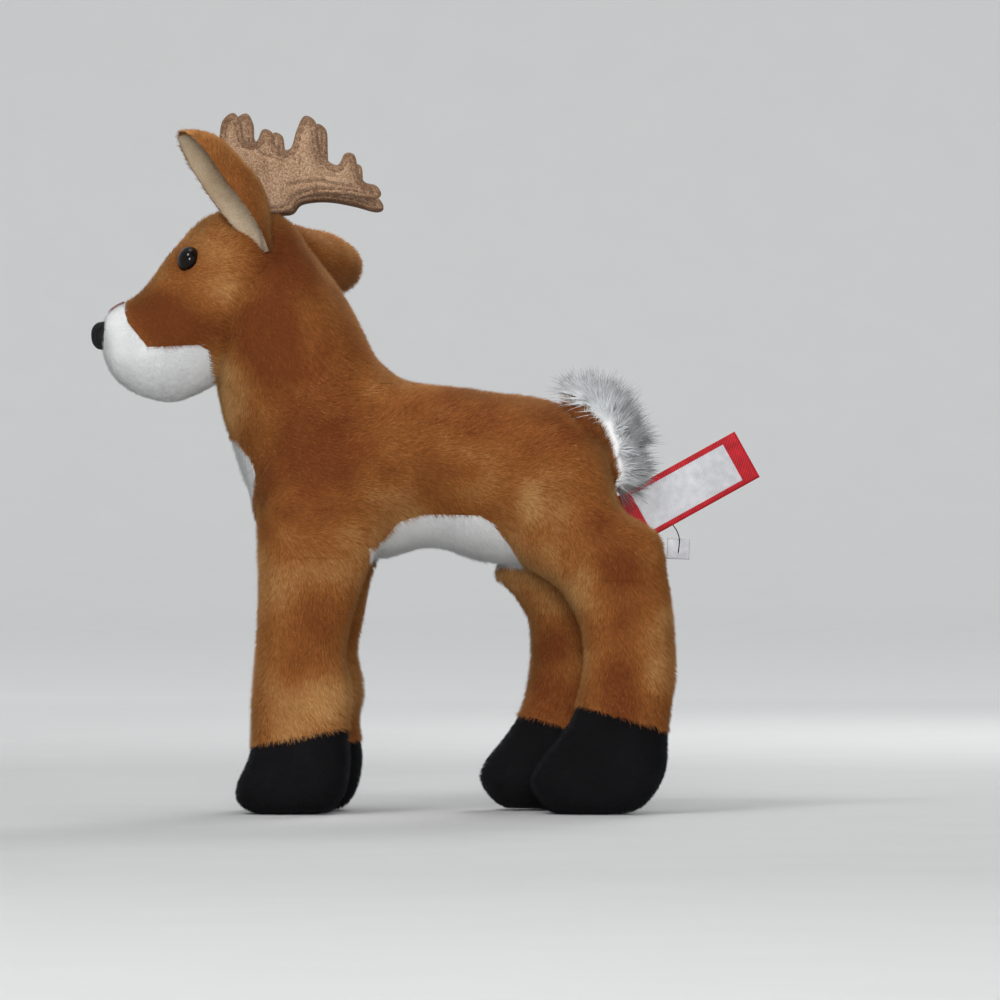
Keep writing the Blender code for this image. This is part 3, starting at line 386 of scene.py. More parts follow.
# Half the bib's outline: aside from the middle and height, in millimetres
BIB_SHAPE = ((0.1, 113), (7, 111.5), (12, 106), (12.5, 101), (10, 97), (6, 94), (4, 90), (3.5, 60))
BIB_BEHIND = 2 * MM
MUZZLE_SEAM = (
    (0.06, 0.6),
    (0.1, 0.524),
    (0.136, 0.41),
    (0.237, 0.285),
    (0.498, 0.296),
    (0.535, 0.26),
    (0.555, 0.0),
)
HEAD_SEAM = (np.array((-49.8, 165.0)) * MM, np.array((-65.4, 129.6)) * MM)
NECK_BEND = 20 * MM
BEND_SPARE = 1 * MM
# Where the neck's panel starts, along the neck
NECK_LOW = 0.25
PILE_TUCK = 1.0 * MM
SEAM_TUCK = 3.5 * MM
LUMP = 1.3 * MM
BODY_LUMP_SIZE = 15 * MM
HEAD_LUMP_SIZE = 11 * MM
SEAM_DENT = 0.5 * MM
SEAM_HALF = 0.9 * MM


def cloud(places, size, seed):
    """Smooth noise from 0 to 1 at each place, in lumps of about the given size."""
    cell = places / size
    base = np.floor(cell).astype(np.int64)
    part = cell - base
    part = part * part * (3 - 2 * part)
    total = np.zeros(len(places))
    for corner in np.ndindex(2, 2, 2):
        key = ((base + corner) * (73856093, 19349663, 83492791)).sum(1) + seed * 2654435761
        key = ((key ^ (key >> 13)) * 1274126177) & 0x7FFFFFFF
        key = ((key ^ (key >> 11)) * 668265263) & 0x7FFFFFFF
        weight = np.where(corner, part, 1 - part).prod(1)
        total += weight * (key % 65536) / 65535
    return total


def depth_in(outline, places, axes=(0, 2)):
    """How far each place lies inside an outline in two axes, and the nearest point of the outline."""
    a = np.array(outline, float)
    edge = np.roll(a, -1, axis=0) - a
    flat = places[:, axes]
    from_a = flat[:, None] - a
    share = np.clip((from_a * edge).sum(2) / (edge**2).sum(1), 0, 1)
    near = a + edge * share[..., None]
    gap = np.linalg.norm(flat[:, None] - near, axis=2)
    nearest = gap.argmin(1)
    rows = np.arange(len(flat))
    below = (a[:, 1] > flat[:, 1, None]) != ((a + edge)[:, 1] > flat[:, 1, None])
    slope = np.where(edge[:, 1] == 0, 1, edge[:, 1])
    meets = a[:, 0] + edge[:, 0] * (flat[:, 1, None] - a[:, 1]) / slope
    within = (below & (flat[:, 0, None] < meets)).sum(1) % 2 == 1
    least = gap[rows, nearest]
    return np.where(within, least, -least), near[rows, nearest]


def drawn_seam(points, faces, chosen, outline, reach, axes):
    """Moves the corners between chosen faces and the rest onto the outline, so that the seam is clean."""
    ins = np.zeros(len(points), bool)
    outs = np.zeros(len(points), bool)
    ins[faces[chosen].ravel()] = True
    outs[faces[~chosen].ravel()] = True
    edge = np.flatnonzero(ins & outs)
    depth, nearest = depth_in(outline, points[edge], axes)
    close = np.abs(depth) < reach
    for axis, values in zip(axes, nearest[close].T):
        points[edge[close], axis] = values


def flat_of(place):
    return (place[0], place[2])


def below_line(low, high, floor):
    """The region under a line from low to high, in X and Z."""
    return [(low[0], floor), low, high, (high[0], floor)]


def panel(points, faces, mask, outline, voxel, axes=(0, 2)):
    """Which faces lie in the outline, among those of the mask, with their seam drawn clean."""
    centres = points[faces].mean(1)
    chosen = mask & (depth_in(outline, centres, axes)[0] > 0)
    drawn_seam(points, faces, chosen, outline, SEAM_REACH * voxel, axes)
    return chosen


body_zone = {}
centres = body_points[body_faces].mean(1)
legs_apart = trunk_low.x + (trunk_high.x - trunk_low.x) / 2
for leg in LEG_DEPTH:
    ahead = centres[:, 0] < legs_apart
    near = ahead if leg == "fore" else ~ahead
    seam = LEG_SEAM[leg]
    low_corner = (cad_low.x - OUTSIDE, seam)
    high_corner = (cad_high.x + OUTSIDE, seam)
    for word, side in SIDES.items():
        beside = (centres[:, 1] - middle_y) * side > 0
        region = below_line(low_corner, high_corner, -OUTSIDE)
        whole = panel(body_points, body_faces, near & beside, region, BODY_VOXEL)
        hip = hinge[f"{leg}_leg_{word}_swing"]
        lead = RIGHT_LEAD[leg] if word == "right" else 0
        half = LEG_DEPTH[leg] / 2
        drop = RIGHT_SEAM_DROP if word == "right" else 0
        front, back = (hip[2] * share - drop for share in HOOF_SEAM[leg])
        slope = (back - front) / LEG_DEPTH[leg]
        reach = half + OUTSIDE
        low = (hip[0] - lead - reach, front - slope * OUTSIDE)
        high = (hip[0] - lead + reach, back + slope * OUTSIDE)
        hoof = panel(body_points, body_faces, whole, below_line(low, high, -OUTSIDE), BODY_VOXEL)
        body_zone[f"{leg}_{word}_hoof"] = hoof
        body_zone[f"{leg}_{word}_leg"] = whole & ~hoof
taken = np.any(list(body_zone.values()), axis=0)

belly_edge = [flat_of(trunk_point(along, up)) for along, up in BELLY_SEAM]
belly_region = [(belly_edge[0][0], 0), *belly_edge, (belly_edge[-1][0], 0)]
behind_front = centres[:, 0] > belly_edge[0][0] + BELLY_FRONT_GAP
beside_legs = behind_front & (centres[:, 0] < belly_edge[-3][0] + BELLY_BACK_REACH)
between_legs = np.abs(centres[:, 1] - middle_y) < LEG_WEB
belly_mask = ~taken & (beside_legs | between_legs)
body_zone["belly"] = panel(body_points, body_faces, belly_mask, belly_region, BODY_VOXEL)
taken |= body_zone["belly"]

bib_half = [(y * MM, z * MM) for y, z in BIB_SHAPE]
bib_region = [(middle_y + y, z) for y, z in bib_half] + [(middle_y - y, z) for y, z in bib_half[::-1]]
ahead = centres[:, 0] < hinge["fore_leg_left_swing"][0] - BIB_BEHIND
body_zone["bib"] = panel(body_points, body_faces, ~taken & ahead, bib_region, BODY_VOXEL, (1, 2))
taken |= body_zone["bib"]

seam_run = HEAD_SEAM[1] - HEAD_SEAM[0]
seam_middle = (HEAD_SEAM[0] + HEAD_SEAM[1]) / 2
seam_way = np.array((seam_run[1], -seam_run[0])) / np.linalg.norm(seam_run)
seam_down = seam_run / np.linalg.norm(seam_run)
bend_line = seam_middle - seam_way * (NECK_BEND + BEND_SPARE)
nape = flat_of(neck_point(NECK_LOW, -1.2))
throat = bend_line + seam_down * (2 * OUTSIDE)
neck_region = [
    nape,
    flat_of(neck_point(NECK_LOW, 0)),
    tuple(throat),
    (cad_low.x - OUTSIDE, throat[1]),
    (cad_low.x - OUTSIDE, cad_high.z + OUTSIDE),
    (nape[0], cad_high.z + OUTSIDE),
]
body_zone["neck"] = panel(body_points, body_faces, ~taken, neck_region, BODY_VOXEL)
body_zone["trunk"] = ~(taken | body_zone["neck"])

muzzle_edge = [flat_of(head_point(along, up)) for along, up in MUZZLE_SEAM]
chin = head_point(0, 0)[2] - OUTSIDE
muzzle_region = [
    (cad_low.x - OUTSIDE, muzzle_edge[0][1]),
    *muzzle_edge,
    (muzzle_edge[-1][0], chin),
    (cad_low.x - OUTSIDE, chin),
]
everywhere = np.ones(len(head_faces), bool)
head_zone = {"muzzle": panel(head_points, head_faces, everywhere, muzzle_region, HEAD_VOXEL)}
head_zone["face"] = ~head_zone["muzzle"]
body_normals = skin_normals(body_points, body_faces)
head_normals = skin_normals(head_points, head_faces)
for places, normals, size in (
    (body_points, body_normals, BODY_LUMP_SIZE),
    (head_points, head_normals, HEAD_LUMP_SIZE),
):
    lumps = LUMP * (cloud(places, size, seed=8) - 0.5)
    dent = SEAM_DENT * np.exp(-(((places[:, 1] - middle_y) / SEAM_HALF) ** 2))
    places += normals * (lumps - dent)[:, None]
body_normals = skin_normals(body_points, body_faces)


def tree_of(points, faces):
    return BVHTree.FromPolygons(points.tolist(), faces.tolist())


def buried(places, tree, depth):
    """Which places lie deeper than depth inside a closed skin."""
    found = np.zeros(len(places), bool)
    for k, place in enumerate(places):
        near, normal, _, _ = tree.find_nearest(Vector(place))
        found[k] = (Vector(place) - near).dot(normal) < -depth
    return found


body_tree = tree_of(body_points, body_faces)
head_tree = tree_of(head_points, head_faces)
body_open = ~buried(body_points[body_faces].mean(1), head_tree, PILE_TUCK)
head_open = ~buried(head_points[head_faces].mean(1), body_tree, PILE_TUCK)
body_kept = ~buried(body_points[body_faces].mean(1), head_tree, SEAM_TUCK)
head_kept = ~buried(head_points[head_faces].mean(1), body_tree, SEAM_TUCK)

# The tan plush. Its pile is brushed back and down, and lies a little differently from place to
# place, so some patches look golden and others a deep red brown: partly its own tone, partly the
# sheen and shade of the nap, which are painted into its colour. Its roots are darkened with painted
# shade, and a few fibres carry painted glints.
TAN_DEEP = (0.245, 0.063, 0.014)
TAN_MIDDLE = (0.4, 0.14, 0.031)
TAN_GOLD = (0.66, 0.34, 0.12)
PLUSH_BACKING = 1.0 * MM
# The sizes of the pile's mottling, its painted glints and its single fibres
MOTTLE = 2.2 * MM
PAINTED_GLINT_SIZE = 0.42 * MM
FIBRE = 0.35 * MM
# The sizes of the patches in which the pile keeps its tone, its way, its lean and its length
TONE_PATCH = 16 * MM
TONE_SPOT = 6 * MM
WAY_PATCH = 11 * MM
LEAN_PATCH = 13 * MM
LENGTH_PATCH = 7 * MM
TUFT = 2.4 * MM
# How far the pile turns and leans in its patches and tufts, and each strand by itself, in radians
PATCH_TURN = 1.3
TUFT_TURN = 2.4
STRAND_TURN = 0.22
PATCH_LEAN = 0.5
TUFT_LEAN = 1.2
STRAND_LEAN = 0.12
TUFT_SHORTER = 0.7
# How far above the belly the pile starts to turn down the legs, and over what height it turns
# there and at the neck
LEG_COMB_FROM = 12 * MM
LEG_COMB_REACH = 25 * MM
NECK_COMB_REACH = 30 * MM
PILE_ROOT = 0.2 * MM
PILE_OFF_FLOOR = 0.02 * MM
BODY_PILE = 2.3 * MM
# Patches of painted sheen and shade on the pile, partly its own tone: place in X and Z and how
# wide, in millimetres, and how much brighter, or deeper where it is below 0
PAINTED_SHADE_AND_TONE_PATCHES = (
    (-48.9, 144.6, 12, -0.42),
    (-38.4, 132.6, 14, -0.34),
    (-24.0, 108.0, 15, -0.34),
    (-41.4, 105.6, 12, -0.3),
    (-14.0, 127.0, 8, 0.25),
    (6.6, 123.6, 13, -0.34),
    (21.6, 112.6, 12, -0.2),
    (45.0, 113.0, 14, -0.42),
    (42.0, 99.0, 9, 0.18),
    (51.5, 87.0, 5, -0.4),
    (55.5, 73.0, 7, -0.4),
    (56.0, 56.0, 6, -0.42),
    (57.0, 44.0, 6, -0.42),
    (53.0, 33.5, 8, -0.35),
    (68.0, 60.0, 6, 0.35),
    (68.5, 42.0, 6, 0.35),
    (44.5, 65.0, 7, 0.35),
    (36.5, 50.0, 6, -0.35),
    (35.0, 38.0, 5, -0.3),
    (-34.0, 57.0, 8, -0.42),
    (-38.5, 44.0, 6, -0.35),
    (-28.0, 36.0, 8, 0.3),
    (-27.0, 75.0, 9, 0.25),
    (-82.0, 148.5, 7, -0.45),
    (-74.0, 145.5, 9, -0.5),
    (-64.0, 144.5, 7, -0.35),
    (-42.5, 165.0, 9, -0.75),
    (-59.4, 156.6, 9, 0.34),
    # painted shadow round the eyes
    (-72.8, 165.1, 4, -0.5),
    (-79.0, 160.0, 5, 0.35),
    (-61.5, 134.0, 6, 0.4),
    (-11.4, 87.6, 12, 0.36),
    (-38.4, 74.6, 10, 0.22),
    (-41.4, 30.6, 11, 0.26),
    (33.6, 81.6, 12, 0.34),
    (46.5, 46.0, 6, 0.25),
    (-27.9, 153.6, 8, 0.08),
    (-64.0, 166.0, 12, 0.25),
    (-74.4, 172.6, 8, 0.22),
    (-60.9, 121.6, 7, 0.36),
)


class Shade:
    """One output of a material's nodes. Sums with it add Math nodes."""

    def __init__(self, tree, made, output=0):
        self.tree = tree
        self.made = made
        self.socket = made.outputs[output] if made else None

    def node(self, kind, settings=None, inputs=None, output=0):
        made = self.tree.nodes.new(kind)
        for name, value in (settings or {}).items():
            if name == "stops":
                while len(made.color_ramp.elements) < len(value):
                    made.color_ramp.elements.new(0.5)
                for element, (place, colour) in zip(made.color_ramp.elements, value):
                    element.position = place
                    element.color = (*colour, 1)
            else:
                setattr(made, name, value)
        for name, value in (inputs or {}).items():
            if isinstance(value, Shade):
                self.tree.links.new(value.socket, made.inputs[name])
            else:
                made.inputs[name].default_value = value
        return Shade(self.tree, made, output)

    def sum(self, operation, a, b):
        return self.node("ShaderNodeMath", {"operation": operation}, {0: a, 1: b})

    def __add__(self, other):
        return self.sum("ADD", self, other)

    def __radd__(self, other):
        return self.sum("ADD", other, self)

    def __sub__(self, other):
        return self.sum("SUBTRACT", self, other)

    def __rsub__(self, other):
        return self.sum("SUBTRACT", other, self)

    def __mul__(self, other):
        return self.sum("MULTIPLY", self, other)

    def __rmul__(self, other):
        return self.sum("MULTIPLY", other, self)

    def __gt__(self, other):
        return self.sum("GREATER_THAN", self, other)

    def between(self, a, b):
        """A colour from a to b as this factor runs from 0 to 1."""
        return self.node("ShaderNodeMix", {"data_type": "RGBA"}, {0: self, 6: a, 7: b}, 2)


def new_material(name, **constants):
    """A material, its Principled shader with the given constant values, and a start for its nodes."""
    material = bpy.data.materials.new(name)
    material.use_nodes = True
    tree = material.node_tree
    shader = tree.nodes["Principled BSDF"]
    for socket, value in constants.items():
        shader.inputs[socket.replace("_", " ")].default_value = value
    return material, shader, Shade(tree, None)


def feed(start, shader, **links):
    for socket, shade in links.items():
        start.tree.links.new(shade.socket, shader.inputs[socket.replace("_", " ")])


def attribute(start, name):
    """A value that is marked on the points of the piece."""
    return start.node("ShaderNodeAttribute", {"attribute_name": name}, output="Fac")


def ramp(start, factor, *stops):
    """A colour that follows the factor through stops, each a place and its colour."""
    return start.node("ShaderNodeValToRGB", {"stops": stops}, {"Fac": factor})


def bumped(start, shader, height, strength, depth):
    """Gives the surface a fine relief."""
    inputs = {"Strength": strength, "Distance": depth, "Height": height}
    feed(start, shader, Normal=start.node("ShaderNodeBump", None, inputs))


def noise(start, size, detail=2.0, roughness=0.5):
    """Clouds of about the given size in metres, fixed to the piece."""
    place = start.node("ShaderNodeTexCoord", output="Object")
    inputs = {"Vector": place, "Scale": 1 / size, "Detail": detail, "Roughness": roughness}
    return start.node("ShaderNodeTexNoise", None, inputs)


def pile_material(name, deep, middle, bright, painted_glint_colour, sheen_tint, sheen, painted_root_shade):
    """Pile that turns from deep to bright with its nap, with painted shade at its roots and painted glints.
    """
    material, shader, start = new_material(
        name,
        Sheen_Weight=sheen,
        Sheen_Roughness=0.4,
        Sheen_Tint=(*sheen_tint, 1),
        Specular_IOR_Level=0.12,
    )
    nap, rise, odd = (attribute(start, word) for word in ("nap", "rise", "odd"))
    lie = nap + (noise(start, MOTTLE) - 0.5) * 0.4 + (odd - 0.5) * 0.2
    tone = ramp(start, lie, (0.0, deep), (0.5, middle), (1.0, bright))
    # Painted shade: the pile is darker towards its roots, and the backing under it, which has no rise,
    # darkest.
    up_from_root = rise * (1 - painted_root_shade) + painted_root_shade
    lit = start.node("ShaderNodeVectorMath", {"operation": "SCALE"}, {0: tone, "Scale": up_from_root})
    # Painted glints: a few fibre tips are brighter, and a little glossier.
    painted_glint = (noise(start, PAINTED_GLINT_SIZE, 1.0) + nap * 0.08 > 0.71) * rise * 0.75
    feed(start, shader, Base_Color=painted_glint.between(lit, (*painted_glint_colour, 1)))
    feed(start, shader, Roughness=0.85 - painted_glint * 0.4)
    bumped(start, shader, noise(start, FIBRE, 3.0, 0.7), 0.35, 0.3 * MM)
    return material


def brushed(places):
    """How golden the pile looks at each place, from 0 to 1: tone and painted sheen and shade."""
    nap = 0.5 + 0.5 * (cloud(places, TONE_PATCH, seed=3) - 0.5)
    nap = nap + 0.35 * (cloud(places, TONE_SPOT, seed=4) - 0.5)
    for x, z, width, amount in PAINTED_SHADE_AND_TONE_PATCHES:
        away = np.hypot(places[:, 0] / MM - x, places[:, 2] / MM - z)
        nap = nap + amount * np.exp(-((away / width) ** 2))
    return np.clip(nap, 0, 1)


BAKE_MARGIN = 0.02


def bake_map(mesh, points, corners):
    """Lays the piece out flat in a map: its left and right sides next to each other."""
    low = np.array(cad_low) - BAKE_MARGIN
    size = (np.array(cad_high) + BAKE_MARGIN - low).max()
    right = points[:, 1] > middle_y
    u = (points[:, 0] - low[0]) / size / 2 + np.where(right, 0.5, 0)
    v = (points[:, 2] - low[2]) / size
    layer = mesh.uv_layers.new(name="OFBake")
    layer.data.foreach_set("uv", np.column_stack([u, v])[corners].ravel().astype(np.float32))


def mark(mesh, name, values):
    """Keeps a value at each point of a mesh, for its material to read."""
    layer = mesh.attributes.new(name, "FLOAT", "POINT")
    layer.data.foreach_set("value", np.asarray(values, np.float32))


def mesh_from(name, points, faces, material, smooth=True):
    """An object from arrays of points and of faces that all have as many corners."""
    mesh = bpy.data.meshes.new(name)
    sides = faces.shape[1]
    mesh.vertices.add(len(points))
    mesh.vertices.foreach_set("co", points.ravel().astype(np.float32))
    mesh.loops.add(faces.size)
    mesh.loops.foreach_set("vertex_index", faces.ravel().astype(np.int32))
    mesh.polygons.add(len(faces))
    mesh.polygons.foreach_set("loop_start", np.arange(0, faces.size, sides, dtype=np.int32))
    mesh.update(calc_edges=True)
    if smooth:
        mesh.shade_smooth()
    mesh.materials.append(material)
    return added(name, mesh)


def cloth_piece(name, points, faces, material, nap):
    """A piece of cloth with the tone of its nap, laid out flat in a map."""
    thing = mesh_from(name, points, faces, material)
    mark(thing.data, "nap", nap(points))
    bake_map(thing.data, points, faces.ravel())
    return thing


def backing(name, points, faces, material):
    """The woven backing of a panel, under its pile."""
    used, numbers = np.unique(faces, return_inverse=True)
    thing = cloth_piece(name, points[used], numbers.reshape(faces.shape), material, brushed)
    shell = thing.modifiers.new("thickness", "SOLIDIFY")
    shell.thickness = PLUSH_BACKING
    shell.offset = -1
    return thing


def grown_pile(
    name, points, normals, faces, material, comb, length, density, lean, seed,
    thick=0.1 * MM, fall=None, nap=brushed, shag=0.0,
):
    """Pile as fine closed spikes: seeded at random on the faces, combed along a field and leaning over."""
    rng = np.random.default_rng(seed)
    tris = np.vstack([faces[:, :3], faces[:, (0, 2, 3)]]) if faces.shape[1] == 4 else faces
    a, b, c = (points[tris[:, k]] for k in range(3))
    area = np.linalg.norm(np.cross(b - a, c - a), axis=1) / 2
    count = int(area.sum() / MM**2 * density)
    pick = rng.choice(len(tris), count, p=area / area.sum())
    u, v = rng.random((2, count))
    u, v = np.where(u + v > 1, (1 - u, 1 - v), (u, v))
    w = 1 - u - v
    root = a[pick] * w[:, None] + b[pick] * u[:, None] + c[pick] * v[:, None]
    normal_a, normal_b, normal_c = (normals[tris[pick, k]] for k in range(3))
    up = unit(normal_a * w[:, None] + normal_b * u[:, None] + normal_c * v[:, None])
    flow = comb(root, up)
    flow = unit(flow - up * (flow * up).sum(1)[:, None])
    side = np.cross(up, flow)
    tuft_turn, tuft_lift = (shag * (cloud(root, TUFT, seed=number) - 0.5) for number in (13, 14))
    swirl = PATCH_TURN * (cloud(root, WAY_PATCH, seed=5) - 0.5) + TUFT_TURN * tuft_turn
    swirl = swirl + rng.normal(0, STRAND_TURN, count)
    flow = flow * np.cos(swirl)[:, None] + side * np.sin(swirl)[:, None]
    tilt = math.radians(lean) + PATCH_LEAN * (cloud(root, LEAN_PATCH, seed=7) - 0.5) + TUFT_LEAN * tuft_lift
    tilt = tilt + rng.normal(0, STRAND_LEAN, count)
    way = up * np.cos(tilt)[:, None] + flow * np.sin(tilt)[:, None]
    reach = length * (0.7 + 0.5 * rng.random(count)) * (0.85 + 0.3 * cloud(root, LENGTH_PATCH, seed=9))
    reach = reach * (1 - TUFT_SHORTER * tuft_lift)
    cross_a = unit(np.cross(way, up + 0.01))
    cross_b = np.cross(way, cross_a)
    bend = np.zeros(3) if fall is None else np.asarray(fall)
    stations = (0.0, 1.0) if fall is None else (0.0, 0.3, 0.65, 1.0)
    rows, marks, leans = [], [], []
    for along in stations[:-1]:
        centre = root - up * PILE_ROOT + way * (reach * along)[:, None]
        centre = centre + bend * (reach * along**2)[:, None]
        radius = thick * (1 - 0.75 * along)
        for k in range(3):
            turn = 2 * math.pi * k / 3
            outward = cross_a * math.cos(turn) + cross_b * math.sin(turn)
            rows.append(centre + outward * radius)
            leans.append(unit(up + 0.45 * outward))
            marks.append(np.full(count, along))
    rows.append(root + way * reach[:, None] + bend * reach[:, None])
    leans.append(unit(up + 0.15 * way))
    marks.append(np.ones(count))
    per = len(rows)
    spots = np.stack(rows, 1).reshape(-1, 3)
    spots[:, 2] = np.maximum(spots[:, 2], PILE_OFF_FLOOR)
    first = (np.arange(count) * per)[:, None]
    tips = [(0, 2, 1)]
    for ring in range(0, per - 4, 3):
        for k in range(3):
            after = (k + 1) % 3
            tips += [(ring + k, ring + after, ring + 3 + after), (ring + k, ring + 3 + after, ring + 3 + k)]
    last = per - 4
    tips += [(last + k, last + (k + 1) % 3, per - 1) for k in range(3)]
    spikes = (first[:, None] + np.array(tips)[None]).reshape(-1, 3)
    thing = mesh_from(name, spots, spikes, material)
    mark(thing.data, "nap", np.repeat(nap(root), per))
    mark(thing.data, "rise", np.stack(marks, 1).ravel())
    mark(thing.data, "odd", np.repeat(rng.random(count), per))
    bake_map(thing.data, spots, spikes.ravel())
    thing.data.normals_split_custom_set_from_vertices(np.stack(leans, 1).reshape(-1, 3).tolist())
    return thing


tan_pile = pile_material(
    "tan_plush", TAN_DEEP, TAN_MIDDLE, TAN_GOLD,
    painted_glint_colour=(0.75, 0.5, 0.24), sheen_tint=(1.0, 0.6, 0.25), sheen=0.22, painted_root_shade=0.5,
)


def combed(*way):
    """A field that brushes the pile one way all over a piece."""
    return lambda places, normals: np.tile(np.array(way, float), (len(places), 1))


def body_comb(places, normals):
    """Back along the trunk, down the neck and down the legs."""
    down = np.clip((BELLY_HEIGHT + LEG_COMB_FROM - places[:, 2]) / LEG_COMB_REACH, 0, 1)
    up_neck = np.clip(((places - NECK_ROOT) @ neck_up) / NECK_COMB_REACH, 0, 1)
    along = np.outer(1 - down, (1.0, 0, -0.25)) + np.outer(down, (0.15, 0, -1.0))
    return along * (1 - up_neck)[:, None] + np.outer(up_neck, (0.35, 0, -0.9))


def body_part(zone, name, material):
    return backing(name, body_points, body_faces[body_zone[zone] & body_kept], material)


def body_pile(
    zone, name, material, seed, length=BODY_PILE, density=5.6, lean=55, keep=True, comb=body_comb, nap=brushed
):
    faces = body_faces[body_zone[zone] & body_open & keep]
    return grown_pile(
        name, body_points, body_normals, faces, material, comb, length, density, lean, seed, nap=nap
    )


trunk = body_part("trunk", "trunk_plush", tan_pile)
trunk_pile = []
for word, side in SIDES.items():
    beside = (body_points[body_faces].mean(1)[:, 1] - middle_y) * side > 0
    trunk_pile.append(body_pile("trunk", f"trunk_pile_{word}", tan_pile, seed=11 + side, keep=beside))
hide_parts("trunk_cover")
for piece in (trunk, *trunk_pile):
    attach(piece, "body")

# The white belly gusset, a panel let in between the legs and sewn to the trunk's cover round its
# edge. Its pile is the same plush in white, brushed back.
WHITE_DEEP = (0.66, 0.67, 0.68)
WHITE_MIDDLE = (0.84, 0.845, 0.84)
WHITE_BRIGHT = (0.93, 0.925, 0.91)
WHITE_PATCH = 9 * MM
white_pile = pile_material(
    "white_plush", WHITE_DEEP, WHITE_MIDDLE, WHITE_BRIGHT,
    painted_glint_colour=(0.9, 0.9, 0.9), sheen_tint=(1, 1, 1), sheen=0.15, painted_root_shade=0.8,
)


def even_nap(places):
    """White plush shows its brushing only a little."""
    return np.clip(0.62 + 0.5 * (cloud(places, WHITE_PATCH, seed=6) - 0.5), 0, 1)


belly = body_part("belly", "belly_plush", white_pile)
belly_pile = body_pile(
    "belly", "belly_pile", white_pile, seed=21, length=2.4 * MM, density=4.6, lean=64, nap=even_nap
)
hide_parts("belly_gusset")
for piece in (belly, belly_pile):
    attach(piece, "body")

# The neck, tan with a white bib at the chest. It is sewn to the head.
neck = body_part("neck", "neck_plush", tan_pile)
neck_pile = body_pile("neck", "neck_pile", tan_pile, seed=31)
bib = body_part("bib", "bib_plush", white_pile)
bib_pile = body_pile(
    "bib", "bib_pile", white_pile, seed=32, length=2.6 * MM, density=4.6, lean=62, nap=even_nap
)
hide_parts("neck_cover")
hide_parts("chest_bib")
for slot, pieces in {"tan_plush": (neck, neck_pile), "white_plush": (bib, bib_pile)}.items():
    for piece in pieces:
        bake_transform(piece)

# The legs. Each cover's long edge hangs a little over the black velvety hoof.
VELVET_DEEP = (0.002, 0.002, 0.0025)
VELVET_MIDDLE = (0.0045, 0.0045, 0.0055)
VELVET_BRIGHT = (0.011, 0.011, 0.013)
hoof_velvet = pile_material(
    "hoof_velvet", VELVET_DEEP, VELVET_MIDDLE, VELVET_BRIGHT,
    painted_glint_colour=(0.03, 0.03, 0.035), sheen_tint=(0.5, 0.5, 0.6), sheen=0.05, painted_root_shade=0.6,
)
leg_seed = 40
for leg in LEG_DEPTH:
    for word in SIDES:
        body = f"{leg}_leg_{word}"
        hip = hinge[f"{body}_swing"]
        cover = body_part(f"{leg}_{word}_leg", f"{leg}_{word}_leg_plush", tan_pile)
        pile = body_pile(f"{leg}_{word}_leg", f"{leg}_{word}_leg_pile", tan_pile, leg_seed)
        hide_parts(f"{leg}_{word}_leg_cover")
        for piece in (cover, pile):
            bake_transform(piece)
        hoof = body_part(f"{leg}_{word}_hoof", f"{leg}_{word}_hoof_plush", hoof_velvet)
        velvet = body_pile(
            f"{leg}_{word}_hoof", f"{leg}_{word}_hoof_pile", hoof_velvet, leg_seed + 1,
            length=1.3 * MM, density=6, lean=55, comb=combed(-0.2, 0, -1),
        )
        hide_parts(f"{leg}_{word}_hoof")
        for piece in (hoof, velvet):
            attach(piece, body)
        leg_seed += 2

# The head, with a tan face and a white muzzle and chin. The pile is shorter here, and runs back
# from the nose.
EYE_PLACE = (0.427, 0.729)
EYE_DENT = 1.1 * MM
EYE_DENT_WIDTH = 4.2 * MM
EYE_CLEAR = 3.8 * MM
eye_spots = {}
for word, side in SIDES.items():
    start = head_point(*EYE_PLACE) + Y_AXIS * (side * OUTSIDE)
    place, normal, _, _ = head_tree.ray_cast(Vector(start), Vector((0, -side, 0)))
    eye_spots[word] = (np.array(place), np.array(normal))
for place, normal in eye_spots.values():
    away = np.linalg.norm(head_points - place, axis=1)
    head_points -= np.outer(EYE_DENT * np.exp(-((away / EYE_DENT_WIDTH) ** 2)), normal)
head_normals = skin_normals(head_points, head_faces)
clear_of_eyes = np.ones(len(head_faces), bool)
for place, normal in eye_spots.values():
    clear_of_eyes &= np.linalg.norm(head_points[head_faces].mean(1) - place, axis=1) > EYE_CLEAR
face = backing("face_plush", head_points, head_faces[head_zone["face"] & head_kept], tan_pile)
face_faces = head_faces[head_zone["face"] & head_open & clear_of_eyes]
face_pile = grown_pile(
    "face_pile", head_points, head_normals, face_faces, tan_pile, combed(1.0, 0, -0.35),
    length=2.2 * MM, density=5.5, lean=64, seed=61,
)
muzzle = backing("muzzle_plush", head_points, head_faces[head_zone["muzzle"] & head_kept], white_pile)
muzzle_faces = head_faces[head_zone["muzzle"] & head_open]
muzzle_pile = grown_pile(
    "muzzle_pile", head_points, head_normals, muzzle_faces, white_pile, combed(1, 0, -0.3),
    length=1.7 * MM, density=6, lean=66, seed=62, nap=even_nap,
)
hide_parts("head_cover")
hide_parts("muzzle_cover")
for slot, pieces in {"tan_plush": (face, face_pile), "white_plush": (muzzle, muzzle_pile)}.items():
    for piece in pieces:
        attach(piece, "head")

# The eyes: polished black plastic buttons, a little domed, each pushed through the cover on a
# post of its own and held from behind by a washer.
EYE_RADIUS = 3.9 * MM
EYE_DOME = 3.0 * MM
EYE_LIFT = 0.5 * MM
EYE_AHEAD = 0.95
EYE_RINGS = 14
EYE_SIDES = 40
# The button's edge behind the dome: its radius as a share, and its height in millimetres
EYE_EDGE = ((0.5, -2.4), (0.92, -2.0), (1.0, -1.4))
EYE_TOP_OPEN = 0.35


